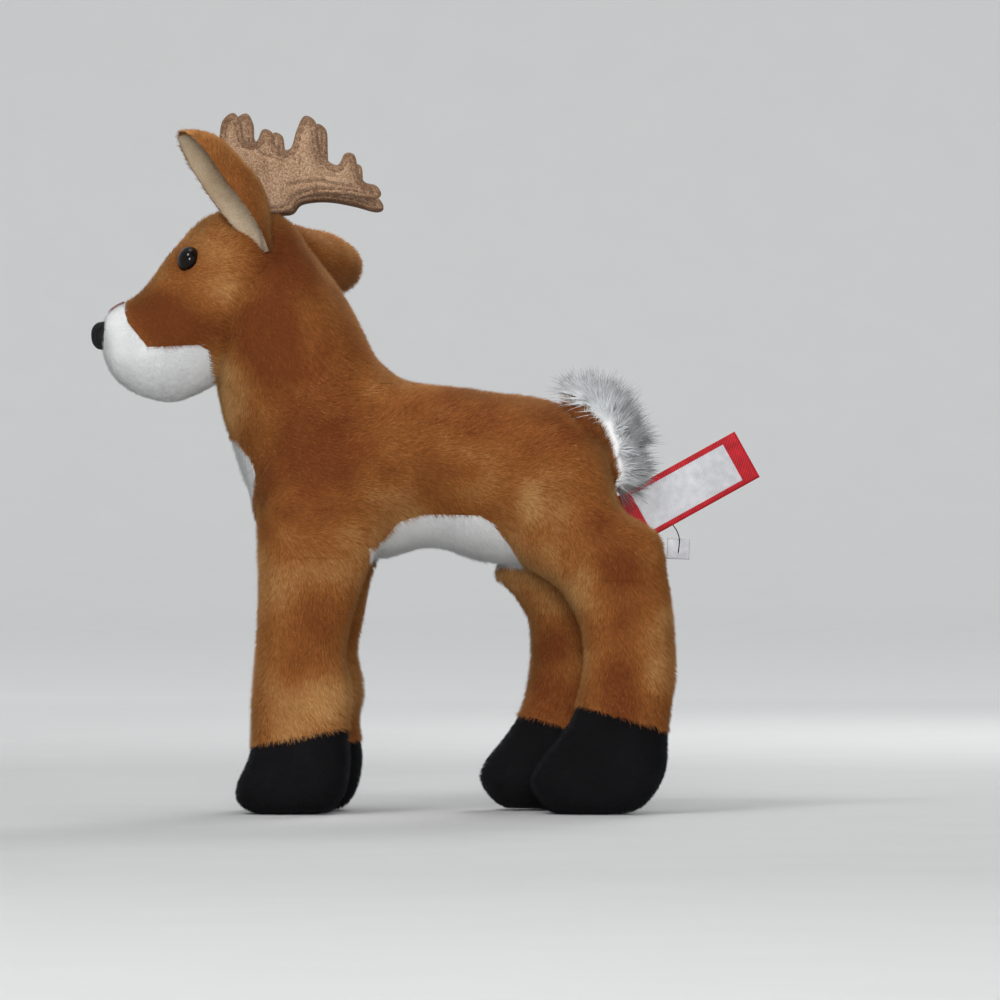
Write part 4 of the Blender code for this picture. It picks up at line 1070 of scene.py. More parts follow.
def toned(name, dark, light, size, detail=2.0, grit=0.5, relief=None, **constants):
    """A finish that clouds between two tones, with a relief of a strength and depth if it has one."""
    material, shader, start = new_material(name, **constants)
    tone = noise(start, size, detail, grit)
    feed(start, shader, Base_Color=tone.between((*dark, 1), (*light, 1)))
    if relief:
        bumped(start, shader, tone, *relief)
    return material


eye_gloss = toned(
    "eye_gloss", (0.002, 0.0015, 0.0015), (0.007, 0.004, 0.003), size=6 * MM,
    Specular_IOR_Level=0.19, Roughness=0.04,
)


def placed(points, origin, x_axis, z_axis):
    """Points about their own origin, stood with Z along z_axis and X near x_axis."""
    z = np.asarray(z_axis, float) / np.linalg.norm(z_axis)
    x = np.asarray(x_axis, float)
    x = x - z * (x @ z)
    x = x / np.linalg.norm(x)
    return origin + np.asarray(points) @ np.array((x, np.cross(z, x), z))


def closed_piece(name, forms, material):
    """One smooth object of closed forms, each a list of rings."""
    mesh = lofted(name, forms)
    mesh.shade_smooth()
    mesh.materials.append(material)
    return added(name, mesh)


for word, (place, normal) in eye_spots.items():
    normal = normal - X_AXIS * EYE_AHEAD
    profile = [(EYE_RADIUS * share, height * MM) for share, height in EYE_EDGE]
    for k in range(EYE_RINGS + 1):
        turn = math.pi / 2 * k / (EYE_RINGS + EYE_TOP_OPEN)
        profile.append((EYE_RADIUS * math.cos(turn), EYE_DOME * math.sin(turn) - EYE_LIFT))
    rings = [oval(Z_AXIS * height, radius, radius, X_AXIS, Y_AXIS, EYE_SIDES) for radius, height in profile]
    rings = [placed(ring, place, X_AXIS, normal) for ring in rings]
    button = closed_piece(f"eye_button_{word}", [rings], eye_gloss)
    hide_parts(f"eye_{word}")
    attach(button, "head")

# The nose is a pad of black satin stitches, laid close together from its top edge to its bottom
# one. A thin dark line leads up from it along the seam between the two sides of the muzzle: painted
# shadow of the seam's groove, drawn as a thread.
NOSE_WIDTH = 10 * MM
NOSE_HEIGHT = 8.6 * MM
NOSE_PLACE = 0.345
NOSE_PROUD = 3.4 * MM
NOSE_STITCHES = 19
NOSE_STATIONS = 15
NOSE_SQUARENESS = 2.6
NOSE_SPREAD = 0.06
NOSE_SUNK = 0.25 * MM
NOSE_STAGGER = 0.06 * MM
# The pad under the stitches: its width as a share of the nose's, and how far out it stands
NOSE_CORE = ((0.85, -1.0), (0.93, 0.0), (0.93, 0.4), (0.84, 0.68), (0.6, 0.86), (0.25, 0.92))
NOSE_THREAD = 0.34 * MM
SEAM_THREAD = 0.4 * MM
SEAM_FROM = 0.035
SEAM_RISE = 1.2 * MM
SEAM_TO = 0.115
nose_black = toned(
    "nose_black", (0.003, 0.003, 0.004), (0.011, 0.01, 0.011), size=0.5 * MM, detail=3.0,
    relief=(0.3, 0.1 * MM), Roughness=0.5, Specular_IOR_Level=0.12,
)


def threads(name, paths, radius, material, sides=8):
    """Round threads along lists of points, as one piece, with closed ends."""
    forms = []
    for path in paths:
        path = np.array(path, float)
        ahead = unit(np.gradient(path, axis=0))
        reference = X_AXIS if abs(ahead[0] @ X_AXIS) < 0.7 else Y_AXIS
        rings = []
        for point, way, end in zip(path, ahead, [0.5, *[1] * (len(path) - 2), 0.5]):
            a = np.cross(way, reference)
            a /= np.linalg.norm(a)
            rings.append(oval(point, radius * end, radius * end, a, np.cross(way, a), sides))
        forms.append(rings)
    return closed_piece(name, forms, material)


def on_head(start, way):
    place, _, _, _ = head_tree.ray_cast(Vector(start), Vector(way))
    return np.array(place)


head_tree = tree_of(head_points, head_faces)
body_tree = tree_of(body_points, body_faces)
nose_front = head_point(-0.5, NOSE_PLACE)
nose_paths = []
for k in range(NOSE_STITCHES):
    across = 2 * (k + 0.5) / NOSE_STITCHES - 1
    half_height = NOSE_HEIGHT / 2 * (1 - abs(across) ** NOSE_SQUARENESS) ** (1 / NOSE_SQUARENESS)
    path = []
    for t in np.linspace(-1, 1, NOSE_STATIONS):
        aside = NOSE_WIDTH / 2 * across * (1 + NOSE_SPREAD * t)
        skin = on_head(nose_front + np.array((0, aside, half_height * t)), X_AXIS)
        dome = NOSE_PROUD * math.sqrt(1 - 0.75 * across * across) * max(0, 1 - abs(t) ** 3) ** 0.5
        path.append(skin - X_AXIS * (dome - NOSE_SUNK + NOSE_STAGGER * (k % 2)))
    nose_paths.append(path)
nose = threads("nose_stitches", nose_paths, NOSE_THREAD, nose_black)
nose_centre = on_head(nose_front, X_AXIS)
core_rings = []
for share, proud in NOSE_CORE:
    half_width, half_height = NOSE_WIDTH / 2 * share, NOSE_HEIGHT / 2 * share
    ring = oval(Z_AXIS * (NOSE_PROUD * proud), half_width, half_height, X_AXIS, Y_AXIS, 32, NOSE_SQUARENESS)
    core_rings.append(placed(ring, nose_centre, Y_AXIS, -X_AXIS))
nose_core = closed_piece("nose_core", [core_rings], nose_black)
seam_path = [on_head(head_point(along, 1.2), -Z_AXIS) for along in np.linspace(SEAM_FROM, SEAM_TO, 12)]
seam_path = [point + Z_AXIS * SEAM_RISE for point in seam_path]
# Painted shadow of the seam's groove, as a dark thread along it
seam_shadow_colour = toned("muzzle_seam_dark", (0.03, 0.012, 0.01), (0.22, 0.09, 0.075), size=2 * MM, Roughness=0.7)
muzzle_seam = threads("muzzle_seam", [seam_path], SEAM_THREAD, seam_shadow_colour)
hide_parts("nose_stitching")
for piece in (nose, nose_core, muzzle_seam):
    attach(piece, "head")

# The washers that hold the eyes: pale plastic discs, pressed onto the posts behind the cover. They
# are out of sight there, and stay as the CAD made them.
washer_plastic = toned("washer_plastic", (0.7, 0.7, 0.68), (0.78, 0.78, 0.76), size=3 * MM, Roughness=0.45)
for word in SIDES:
    washer = bpy.data.objects[f"eye_washer_{word}"]
    washer.data.materials.clear()
    washer.data.materials.append(washer_plastic)

# The ears: cupped leaves of two layers, tan plush behind and cream velour inside, turned out at
# the edge and gathered at the root.
EAR_LENGTH = 42 * MM
EAR_WIDTH = 19 * MM
EAR_CUP = 10.5 * MM
EAR_CURL = 3 * MM
EAR_START = 0.85 * MM
EAR_BACK = 1.5 * MM
EAR_LINING = 0.8 * MM
EAR_LINING_SHARE = 0.99
EAR_STATIONS = 34
EAR_COLUMNS = 29
EAR_TIP_ROWS = 5
EAR_RIPPLE = 1.2 * MM
EAR_RIPPLE_SIZE = 9 * MM
EAR_LAYER_GAP = 0.1 * MM
EAR_BURIED = 0.3 * MM
# Along the ear, its width as a share of the widest
EAR_ROWS = (
    (-0.07, 0.34),
    (0.0, 0.5),
    (0.1, 0.78),
    (0.25, 0.97),
    (0.45, 1.0),
    (0.65, 0.95),
    (0.8, 0.84),
    (0.9, 0.67),
    (0.96, 0.48),
    (1.0, 0.2),
)
EAR_LEAN = {"left": (-0.57, -0.4, 0.72), "right": (0.57, 0.81, -0.12)}
EAR_FACING = {"left": (-0.86, -0.51, 0), "right": (-0.78, 0.62, 0)}
CREAM_DEEP = (0.42, 0.3, 0.18)
CREAM_MIDDLE = (0.6, 0.46, 0.31)
CREAM_BRIGHT = (0.75, 0.64, 0.5)
cream_pile = pile_material(
    "cream_velour", CREAM_DEEP, CREAM_MIDDLE, CREAM_BRIGHT,
    painted_glint_colour=(0.85, 0.78, 0.66), sheen_tint=(1, 0.9, 0.75), sheen=0.15, painted_root_shade=0.75,
)


def slab(first, second):
    """A closed sheet between two matching grids of points, with the faces of either side."""
    rows, columns = first.shape[:2]
    count = rows * columns
    grid = np.arange(count).reshape(rows, columns)
    over = np.stack([grid[:-1, :-1], grid[:-1, 1:], grid[1:, 1:], grid[1:, :-1]], -1).reshape(-1, 4)
    under = over[:, ::-1] + count
    rim = np.concatenate([grid[0], grid[1:, -1], grid[-1, -2::-1], grid[-2:0:-1, 0]])
    after = np.roll(rim, -1)
    edge = np.stack([after, rim, rim + count, after + count], -1)
    points = np.vstack([first.reshape(-1, 3), second.reshape(-1, 3)])
    return points, over, under, edge


def ear_leaf(thickness, lift, width_share, low, high, seed):
    """Both sides of one layer of an ear, about its root, its cup open towards +Y."""
    widths = np.array(eased(EAR_ROWS, 6))
    along = low + (high - low) * np.sin(np.linspace(0, math.pi / 2, EAR_STATIONS))
    across = np.sin(np.linspace(-math.pi / 2, math.pi / 2, EAR_COLUMNS)) * width_share
    u, v = np.meshgrid(along, across, indexing="ij")
    width = np.interp(u, widths[:, 0], widths[:, 1])
    x = EAR_WIDTH / 2 * width * v
    depth = EAR_CUP * width**2 * (1 - v**2) + EAR_CURL * np.maximum(u, 0) ** 2
    middle = np.stack([x, -depth, EAR_START + EAR_LENGTH * u], -1)
    slope = 2 * EAR_CUP * width * v / (EAR_WIDTH / 2)
    normal = np.stack([-slope, np.ones_like(slope), np.zeros_like(slope)], -1)
    normal /= np.linalg.norm(normal, axis=2)[..., None]
    wave = (cloud(middle.reshape(-1, 3), EAR_RIPPLE_SIZE, seed) - 0.5).reshape(u.shape)
    ripple = EAR_RIPPLE * wave * np.clip(u * 3, 0, 1)
    edge = np.sqrt(np.maximum(1 - np.abs(v / width_share) ** 6, 0.01))
    edge *= np.sqrt(np.maximum(1 - np.abs((u - low) / (high - low)) ** 10, 0.01))
    half = (thickness / 2 * edge)[..., None]
    centre = middle + normal * (lift * edge + ripple)[..., None]
    return centre - normal * half, centre + normal * half, v


def ear_layer(word, *leaf):
    """A layer of an ear in its place: its points, the faces of its back, front and edge, and its grid."""
    rear, front, across = ear_leaf(*leaf, seed=70 + SIDES[word])
    points, over, under, edge = slab(rear, front)
    x_axis = np.cross(EAR_FACING[word], EAR_LEAN[word])
    return placed(points, hinge[f"ear_{word}_fold"], x_axis, EAR_LEAN[word]), over, under, edge, across


for word, side in SIDES.items():
    lean = np.array(EAR_LEAN[word])
    up_ear = combed(*(lean / np.linalg.norm(lean)))
    points, over, under, edge, across = ear_layer(word, EAR_BACK, 0, 1, -0.07, 1)
    faces = np.vstack([over, under, edge])
    back = cloth_piece(f"ear_back_{word}", points, faces, tan_pile, brushed)
    rim = np.abs(across[:-1, :-1] + across[1:, 1:]) / 2 > EAR_LINING_SHARE
    rim[-EAR_TIP_ROWS:] = True
    furred = np.vstack([over, under[rim.ravel()]])
    furred = furred[~buried(points[furred].mean(1), head_tree, EAR_BURIED)]
    pile = grown_pile(
        f"ear_pile_{word}", points, skin_normals(points, faces), furred, tan_pile, up_ear,
        length=1.9 * MM, density=6.5, lean=62, seed=72 + side,
    )
    lift = EAR_BACK / 2 + EAR_LINING / 2 + EAR_LAYER_GAP
    points, over, under, edge, _ = ear_layer(word, EAR_LINING, lift, EAR_LINING_SHARE, -0.06, 0.97)
    faces = np.vstack([over, under, edge])
    lining = cloth_piece(f"ear_lining_{word}_velour", points, faces, cream_pile, even_nap)
    under = under[~buried(points[under].mean(1), head_tree, EAR_BURIED)]
    velour = grown_pile(
        f"ear_lining_{word}_pile", points, skin_normals(points, faces), under, cream_pile, up_ear,
        length=1.3 * MM, density=7, lean=60, seed=75 + side, nap=even_nap,
    )
    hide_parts(f"ear_{word}_back")
    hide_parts(f"ear_{word}_lining")
    for slot, pieces in {"tan_plush": (back, pile), "cream_plush": (lining, velour)}.items():
        for piece in pieces:
            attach(piece, f"ear_{word}")

# The antlers: two felt panels each, sewn together round the edge with wadding between them, so the
# felt puffs up inside the line of stitches and creases where the tines branch.
ANTLER_SPAN = 48 * MM
ANTLER_RISE = 29 * MM
ANTLER_LEAN = math.radians(9)
ANTLER_PITCH = {"left": math.radians(-1), "right": math.radians(5)}
FELT = 1.0 * MM
FELT_GRID = 0.5 * MM
PUFF = 0.9 * MM
PUFF_REACH = 4.5 * MM
STITCH_IN = 1.7 * MM
STITCH_DENT = 0.8 * MM
STITCH_LENGTH = 1.7 * MM
STITCH_STEP = 2.4 * MM
STITCH_THREAD = 0.26 * MM
STITCH_SUNK = 0.25 * MM
STITCH_PROUD = 0.1 * MM
STITCH_STATIONS = 6
WADDING_IN = 1.3 * MM
WADDING_SHARE = 0.8
WARP = 2.2 * MM
CREASE_DENT = 0.9 * MM
STITCH_HALF = 0.45 * MM
CREASE_HALF = 0.55 * MM
PUFF_SIZE = 6 * MM
WARP_SIZE = 15 * MM
# How far in from the edge the painted shade reaches
PAINTED_EDGE_SHADE = 1.1 * MM
CREASE_FADE = 3 * MM
WARP_FADE = 10 * MM
# Half the gap that stays between the panels where they are sewn
SEWN_HALF = 0.2 * MM
# Creases where the felt buckles between the tines, in shares of the span and the rise
ANTLER_CREASES = (
    ((-0.084, 0.66), (-0.03, 0.6), (0.022, 0.58), (0.1, 0.54), (0.116, 0.64)),
    ((-0.22, 0.52), (-0.17, 0.42), (-0.1, 0.4)),
    ((0.3, 0.5), (0.34, 0.4), (0.42, 0.36)),
    ((0.12, 0.3), (0.3, 0.33), (0.46, 0.27), (0.58, 0.22)),
)
# The antler's outline, in the same shares
ANTLER_SHARES = (
    (-0.11, 0.02),
    (-0.24, 0.22),
    (-0.31, 0.5),
    (-0.31, 0.72),
    (-0.29, 0.95),
    (-0.22, 1.04),
    (-0.17, 0.93),
    (-0.15, 0.76),
    (-0.08, 0.74),
    (-0.04, 0.86),
    (0.02, 0.83),
    (0.05, 0.68),
    (0.13, 0.66),
    (0.17, 0.84),
    (0.22, 0.99),
    (0.29, 0.93),
    (0.31, 0.72),
    (0.33, 0.58),
    (0.42, 0.48),
    (0.47, 0.6),
    (0.53, 0.58),
    (0.55, 0.42),
    (0.59, 0.3),
    (0.66, 0.26),
    (0.69, 0.17),
    (0.64, 0.13),
    (0.5, 0.17),
    (0.33, 0.19),
    (0.18, 0.14),
    (0.11, 0.02),
)
felt_tan, felt_shader, felt_start = new_material(
    "antler_suede",
    Roughness=0.92,
    Sheen_Weight=0.3,
    Sheen_Roughness=0.5,
    Sheen_Tint=(1, 0.8, 0.65, 1),
    Specular_IOR_Level=0.1,
)
speckle = noise(felt_start, 0.55 * MM, 3.0, 0.75)
patch = noise(felt_start, 5 * MM, 3.0)
felt_colour = ramp(
    felt_start,
    # painted shade, darker towards the sewn edge
    speckle * 1.7 + patch * 0.5 - 0.65 - attribute(felt_start, "edge") * 0.4,
    (0.1, (0.13, 0.068, 0.038)),
    (0.42, (0.31, 0.19, 0.113)),
    (0.8, (0.54, 0.38, 0.26)),
)
feed(felt_start, felt_shader, Base_Color=felt_colour)
bumped(felt_start, felt_shader, speckle, 0.7, 0.45 * MM)
stitch_tan = toned("antler_thread", (0.1, 0.05, 0.026), (0.2, 0.11, 0.06), size=1 * MM, Roughness=0.6)


def rounded(outline, steps=5):
    """A smooth closed outline through the points."""
    a, b, c, d = (np.roll(outline, shift, axis=0)[:, None] for shift in (1, 0, -1, -2))
    t = (np.arange(steps) / steps)[None, :, None]
    bend = (2 * a - 5 * b + 4 * c - d) * t**2 + (3 * b - a - 3 * c + d) * t**3
    return ((2 * b + (c - a) * t + bend) / 2).reshape(-1, 2)


def in_side_view(flat):
    return np.column_stack([flat[:, 0], np.zeros(len(flat)), flat[:, 1]])


def inward(outline):
    """Which way is in, at each point of an outline that runs clockwise."""
    run = np.roll(outline, -1, axis=0) - np.roll(outline, 1, axis=0)
    return unit(np.column_stack([run[:, 1], -run[:, 0]]))


def triangled(outline):
    """Points and triangles that fill an outline evenly."""
    low, high = outline.min(0), outline.max(0)
    x, z = np.meshgrid(np.arange(low[0], high[0], FELT_GRID), np.arange(low[1], high[1], FELT_GRID * 0.87))
    x[1::2] += FELT_GRID / 2
    inner = np.column_stack([x.ravel(), z.ravel()])
    inner = inner[depth_in(outline, in_side_view(inner))[0] > FELT_GRID * 0.6]
    spots = [Vector(spot) for spot in np.vstack([outline, inner])]
    made = delaunay_2d_cdt(spots, [], [list(range(len(outline)))], 1, 1e-7)
    return np.array([tuple(spot) for spot in made[0]]), np.array(made[2])


antler_edge = rounded(np.array(ANTLER_SHARES) * (ANTLER_SPAN, ANTLER_RISE))


def from_run(flat, run):
    """How far places lie from a run of straight lines."""
    a, edge = run[:-1], run[1:] - run[:-1]
    share = np.clip(((flat[:, None] - a) * edge).sum(2) / (edge**2).sum(1), 0, 1)
    return np.linalg.norm(flat[:, None] - a - edge * share[..., None], axis=2).min(1)


def antler_half(flat, seed):
    """Half the antler's inside thickness at places in its plane, and how its plane bends there."""
    depth = np.maximum(depth_in(antler_edge, in_side_view(flat))[0], 0)
    puff = PUFF * np.sqrt(np.maximum(1 - (1 - np.minimum(depth / PUFF_REACH, 1)) ** 2, 0))
    dent = STITCH_DENT * np.exp(-(((depth - STITCH_IN) / STITCH_HALF) ** 2))
    creases = [np.array(line) * (ANTLER_SPAN, ANTLER_RISE) for line in ANTLER_CREASES]
    away = np.min([from_run(flat, crease) for crease in creases], axis=0)
    fold = CREASE_DENT * np.exp(-((away / CREASE_HALF) ** 2)) * np.clip(depth / CREASE_FADE, 0, 1)
    puff = puff * (0.75 + 0.5 * cloud(in_side_view(flat), PUFF_SIZE, seed))
    half = SEWN_HALF + np.maximum(puff - dent - fold, 0)
    warp = WARP * (cloud(in_side_view(flat), WARP_SIZE, seed + 1) - 0.5)
    warp = warp * np.clip(flat[:, 1] / WARP_FADE, 0, 1)
    return half, warp, depth


def antler_layer(name, outline, low, high, material, seed, place):
    """A closed layer of an antler, from low to high, which give the heights from the half thickness."""
    flat, tris = triangled(outline)
    half, warp, depth = antler_half(flat, seed)
    count = len(flat)
    first = np.column_stack([flat[:, 0], low(half) + warp, flat[:, 1]])
    second = np.column_stack([flat[:, 0], high(half) + warp, flat[:, 1]])
    rim = np.arange(len(outline))
    after = np.roll(rim, -1)
    turn = np.cross(flat[tris[0, 1]] - flat[tris[0, 0]], flat[tris[0, 2]] - flat[tris[0, 0]])
    if turn < 0:
        tris = tris[:, ::-1]
    edge_a = np.column_stack([rim, after, after + count])
    edge_b = np.column_stack([rim, after + count, rim + count])
    faces = np.vstack([tris, tris[:, ::-1] + count, edge_a, edge_b])
    points = placed(np.vstack([first, second]), *place)
    thing = mesh_from(name, points, faces, material, False)
    fixed = bmesh.new()
    fixed.from_mesh(thing.data)
    bmesh.ops.recalc_face_normals(fixed, faces=fixed.faces)
    fixed.to_mesh(thing.data)
    fixed.free()
    thing.data.shade_smooth()
    # Painted shade towards the sewn edge, for the felt's colour to darken.
    mark(thing.data, "edge", np.tile(np.exp(-depth / PAINTED_EDGE_SHADE), 2))
    return thing


def inset(outline, distance):
    """The outline moved in by a distance, without the places where that crosses it."""
    moved = outline + inward(outline) * distance
    return moved[depth_in(outline, in_side_view(moved))[0] > 0.9 * distance]


fibre = toned(
    "fibre_filling", (0.66, 0.66, 0.65), (0.84, 0.84, 0.83), size=0.9 * MM, detail=5.0, grit=0.8,
    relief=(0.8, 0.6 * MM), Roughness=0.95, Sheen_Weight=0.4,
)

for word, side in SIDES.items():
    pitch = np.array(Matrix.Rotation(ANTLER_PITCH[word], 3, "Y"))
    upward = np.array((0, side * math.sin(ANTLER_LEAN), math.cos(ANTLER_LEAN)))
    place = (hinge[f"antler_{word}_flex"], pitch @ X_AXIS, pitch @ upward)
    seed = 80 + side
    name = f"antler_{word}"
    pad_edge = inset(antler_edge, WADDING_IN)
    layers = {
        "front_suede": (antler_edge, lambda half: half, lambda half: half + FELT, felt_tan),
        "back_suede": (antler_edge, lambda half: -half - FELT, lambda half: -half, felt_tan),
        "fibre": (pad_edge, lambda half: -WADDING_SHARE * half, lambda half: WADDING_SHARE * half, fibre),
    }
    front, back, wadding = (
        antler_layer(f"{name}_{kind}", *layer, seed, place) for kind, layer in layers.items()
    )
    run = inset(antler_edge, STITCH_IN)
    gone = np.concatenate([[0], np.cumsum(np.linalg.norm(np.diff(run, axis=0), axis=1))])
    stitches = []
    for begin in np.arange(0, gone[-1] - STITCH_LENGTH, STITCH_STEP):
        stations = begin + STITCH_LENGTH * np.linspace(0, 1, STITCH_STATIONS)
        flat = np.column_stack([np.interp(stations, gone, run[:, k]) for k in (0, 1)])
        if np.linalg.norm(flat[-1] - flat[0]) < 0.6 * STITCH_LENGTH:
            continue
        half, warp, _ = antler_half(flat, seed)
        sunk = STITCH_SUNK * np.abs(np.linspace(-1, 1, STITCH_STATIONS)) ** 3
        for face in (1, -1):
            height = face * (half + FELT + STITCH_PROUD - sunk) + warp
            stitches.append(placed(np.column_stack([flat[:, 0], height, flat[:, 1]]), *place))
    stitching = threads(f"{name}_stitching", stitches, STITCH_THREAD, stitch_tan, 6)
    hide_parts(f"{name}_front_felt")
    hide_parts(f"{name}_back_felt")
    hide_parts(f"{name}_wadding")
    for slot, pieces in {"antler_felt": (front, back, stitching), "fibre_filling": (wadding,)}.items():
        for piece in pieces:
            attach(piece, name)

# The tail stands up along the rump: a tan plush panel on the side against it, and long shaggy
# white pile with dark tips behind.
TAIL_WIDTH = 25 * MM
TAIL_THICKNESS = 11 * MM
TAIL_REACH = 32 * MM
TAIL_PANEL = 1.6 * MM
TAIL_INNER = -2.6 * MM
TAIL_LIE = 4.4 * MM
TAIL_CLEARANCE = (0.2 * MM, 1.5 * MM)
TAIL_CORE = 7.2 * MM
TAIL_CORE_WIDTH = 0.74
TAIL_PANEL_WIDTH = 0.92
TAIL_VOXEL = 0.6 * MM
TAIL_TUFT = 3.5 * MM
TAIL_PILE = 9.4 * MM
TAIL_SHAG = 1.0
TAIL_TAN_PILE = 4.4 * MM
# Along the tail's spine: its place behind and above the root, its thickness and its width
TAIL_SECTIONS = (
    (-0.05, -0.15, 0.4, 0.38),
    (0.02, 0.02, 0.75, 0.62),
    (0.11, 0.22, 1.05, 0.85),
    (0.05, 0.42, 1.15, 1.0),
    (-0.07, 0.58, 1.1, 1.0),
    (-0.2, 0.68, 0.88, 0.85),
    (-0.31, 0.73, 0.48, 0.5),
)
tail_white, tail_shader, tail_start = new_material(
    "tail_white", Roughness=0.75, Sheen_Weight=0.2, Specular_IOR_Level=0.2
)
tail_rise, tail_odd, tail_nap = (attribute(tail_start, word) for word in ("rise", "odd", "nap"))
tufts = noise(tail_start, TAIL_TUFT) - 0.5
tail_colour = ramp(
    tail_start,
    tail_rise * 0.7 + (tail_odd - 0.5) * 0.25 + tail_nap * 0.4 - 0.12 + tufts * 0.9,
    (0.0, (0.86, 0.86, 0.86)),
    (0.3, (0.72, 0.74, 0.75)),
    (0.64, (0.48, 0.49, 0.5)),
    (0.9, (0.035, 0.03, 0.03)),
)
feed(tail_start, tail_shader, Base_Color=tail_colour)
tail_rows = np.array(eased(TAIL_SECTIONS, 5))
tail_spine = hinge["tail_flex"] + np.outer(tail_rows[:, 0], X_AXIS) * TAIL_REACH
tail_spine = tail_spine + np.outer(tail_rows[:, 1], Z_AXIS) * TAIL_REACH
tail_spine -= np.outer(np.clip(tail_rows[:, 1] * 5, 0, 1), X_AXIS) * TAIL_LIE
tail_ahead = unit(np.gradient(tail_spine, axis=0))
tail_out = unit(np.cross(Y_AXIS, tail_ahead))


def tail_form(low, high, width_share):
    """A layer of the tail, from low to high across its thickness, as points and faces."""
    rings = []
    for place, outward, (_, _, thick, width) in zip(tail_spine, tail_out, tail_rows):
        middle = place + outward * ((low + high - TAIL_THICKNESS) / 2 * thick)
        half_width = TAIL_WIDTH * width / 2 * width_share
        rings.append(oval(middle, (high - low) * thick / 2, half_width, outward, Y_AXIS, 28, FULLNESS))
    points, faces = voxel_skin(lofted("tail_form", [rings]), TAIL_VOXEL)
    return softened(points, faces, rounds=4, hollows=0), faces


def kept_outside(points, tree, clearances):
    """Moves what would lie in a skin, or nearer it than the clearances, out to just off it."""
    for k, point in enumerate(points):
        near, normal, _, _ = tree.find_nearest(Vector(point))
        if (Vector(point) - near).dot(normal) < clearances[k]:
            points[k] = near + normal * clearances[k]
    return points


def nearest_on_tail(places):
    """The number of the spine's point that is nearest to each place."""
    return np.linalg.norm(places[:, None] - tail_spine[None], axis=2).argmin(1)


def along_tail(places, normals):
    """Up the tail towards its tip."""
    nearest = nearest_on_tail(places)
    return tail_ahead[nearest] + 0.35 * tail_out[nearest]


def outer_share(places):
    """How far out from the rump a place on the tail lies."""
    nearest = nearest_on_tail(places)
    out = ((places - tail_spine[nearest]) * tail_out[nearest]).sum(1) / TAIL_THICKNESS
    return np.clip(0.55 + out, 0, 1)


points, faces = tail_form(TAIL_INNER, TAIL_PANEL, TAIL_PANEL_WIDTH)
up_tail = (points[:, 2] - hinge["tail_flex"][2]) / TAIL_REACH
points = kept_outside(points, body_tree, np.interp(up_tail, (0, 0.7), TAIL_CLEARANCE))
panel_plush = cloth_piece("tail_panel_plush", points, faces, tan_pile, brushed)
open_faces = faces[~buried(points[faces].mean(1), body_tree, 0)]
panel_pile = grown_pile(
    "tail_panel_pile", points, skin_normals(points, faces), open_faces, tan_pile, along_tail,
    length=TAIL_TAN_PILE, density=6, lean=42, seed=91, fall=(-0.05, 0, -0.06), shag=TAIL_SHAG / 2,
)
points, faces = tail_form(TAIL_PANEL, TAIL_CORE, TAIL_CORE_WIDTH)
normals = skin_normals(points, faces)
face_middles = points[faces].mean(1)
outward = (normals[faces].mean(1) * tail_out[nearest_on_tail(face_middles)]).sum(1) > 0
outward &= ~buried(face_middles, body_tree, 0)
core = cloth_piece("tail_backing", points, faces, tail_white, outer_share)
fluff = grown_pile(
    "tail_long_pile", points, normals, faces[outward], tail_white, along_tail,
    length=TAIL_PILE, density=9, lean=46, seed=92,
    thick=0.12 * MM, fall=(0, 0, -0.16), nap=outer_share, shag=TAIL_SHAG,
)
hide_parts("tail_panel")
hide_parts("tail_fluff")
for slot, pieces in {"tan_plush": (panel_plush, panel_pile), "long_white_pile": (core, fluff)}.items():
    for piece in pieces:
        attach(piece, "tail")

# The label: a red woven ribbon, folded double and sewn into the rump's seam by its ends, with a
# silvery satin panel woven into the side that faces out. A short satin tab and the loose end of a
# black thread hang below it.
LABEL_WIDTH = 15.6 * MM
LABEL_LENGTH = 36 * MM
LABEL_TUCK = 5.4 * MM
RIBBON = 0.35 * MM
LABEL_FOLD = 1.3 * MM
LABEL_RISE = math.radians(29)
LABEL_WAVE = 0.8 * MM
LABEL_RIPPLE = 0.25 * MM
LABEL_CURL = 0.25 * MM
LABEL_STATIONS = 40
LABEL_COLUMNS = 19
PANEL_FROM = 0.3 * MM
PANEL_TO = 31.2 * MM
PANEL_MARGIN = 1.7 * MM
WEAVE = 1.0 * MM


def woven(name, deep, bright, roughness, sheen, twill_share):
    material, shader, start = new_material(
        name, Roughness=roughness, Sheen_Weight=sheen, Specular_IOR_Level=0.18
    )
    run, over = (attribute(start, word) for word in ("run", "over"))
    twill = start.sum("SINE", (run + over) * (2 * math.pi / WEAVE), 0)
    cloth = twill * twill_share + noise(start, 2.5 * MM) * 0.9 + 0.08
    feed(start, shader, Base_Color=cloth.between((*deep, 1), (*bright, 1)))
    bumped(start, shader, cloth, 0.4, 0.06 * MM)
    return material


ribbon_red = woven("ribbon_red", (0.16, 0.002, 0.005), (0.52, 0.01, 0.018), 0.6, 0, 0.3)
satin = woven("satin_silver", (0.28, 0.28, 0.3), (0.56, 0.56, 0.58), 0.35, 0.2, 0.1)
half_fold = LABEL_FOLD / 2
straight = np.linspace(-LABEL_TUCK, LABEL_LENGTH - half_fold, LABEL_STATIONS)
flat_side = np.full(LABEL_STATIONS, half_fold)
turn = np.linspace(0, math.pi, 11)[1:-1]
path_y = np.concatenate([-flat_side, -half_fold * np.cos(turn), flat_side])
path_z = np.concatenate([straight, straight[-1] + half_fold * np.sin(turn), straight[::-1]])
along_label = path_z / LABEL_LENGTH
path_y = path_y + LABEL_WAVE * np.sin(along_label * math.pi * 1.1) - LABEL_RIPPLE * np.sin(along_label * 9)
run = np.concatenate([[0], np.cumsum(np.hypot(np.diff(path_y), np.diff(path_z)))])
across = np.linspace(-LABEL_WIDTH / 2, LABEL_WIDTH / 2, LABEL_COLUMNS)
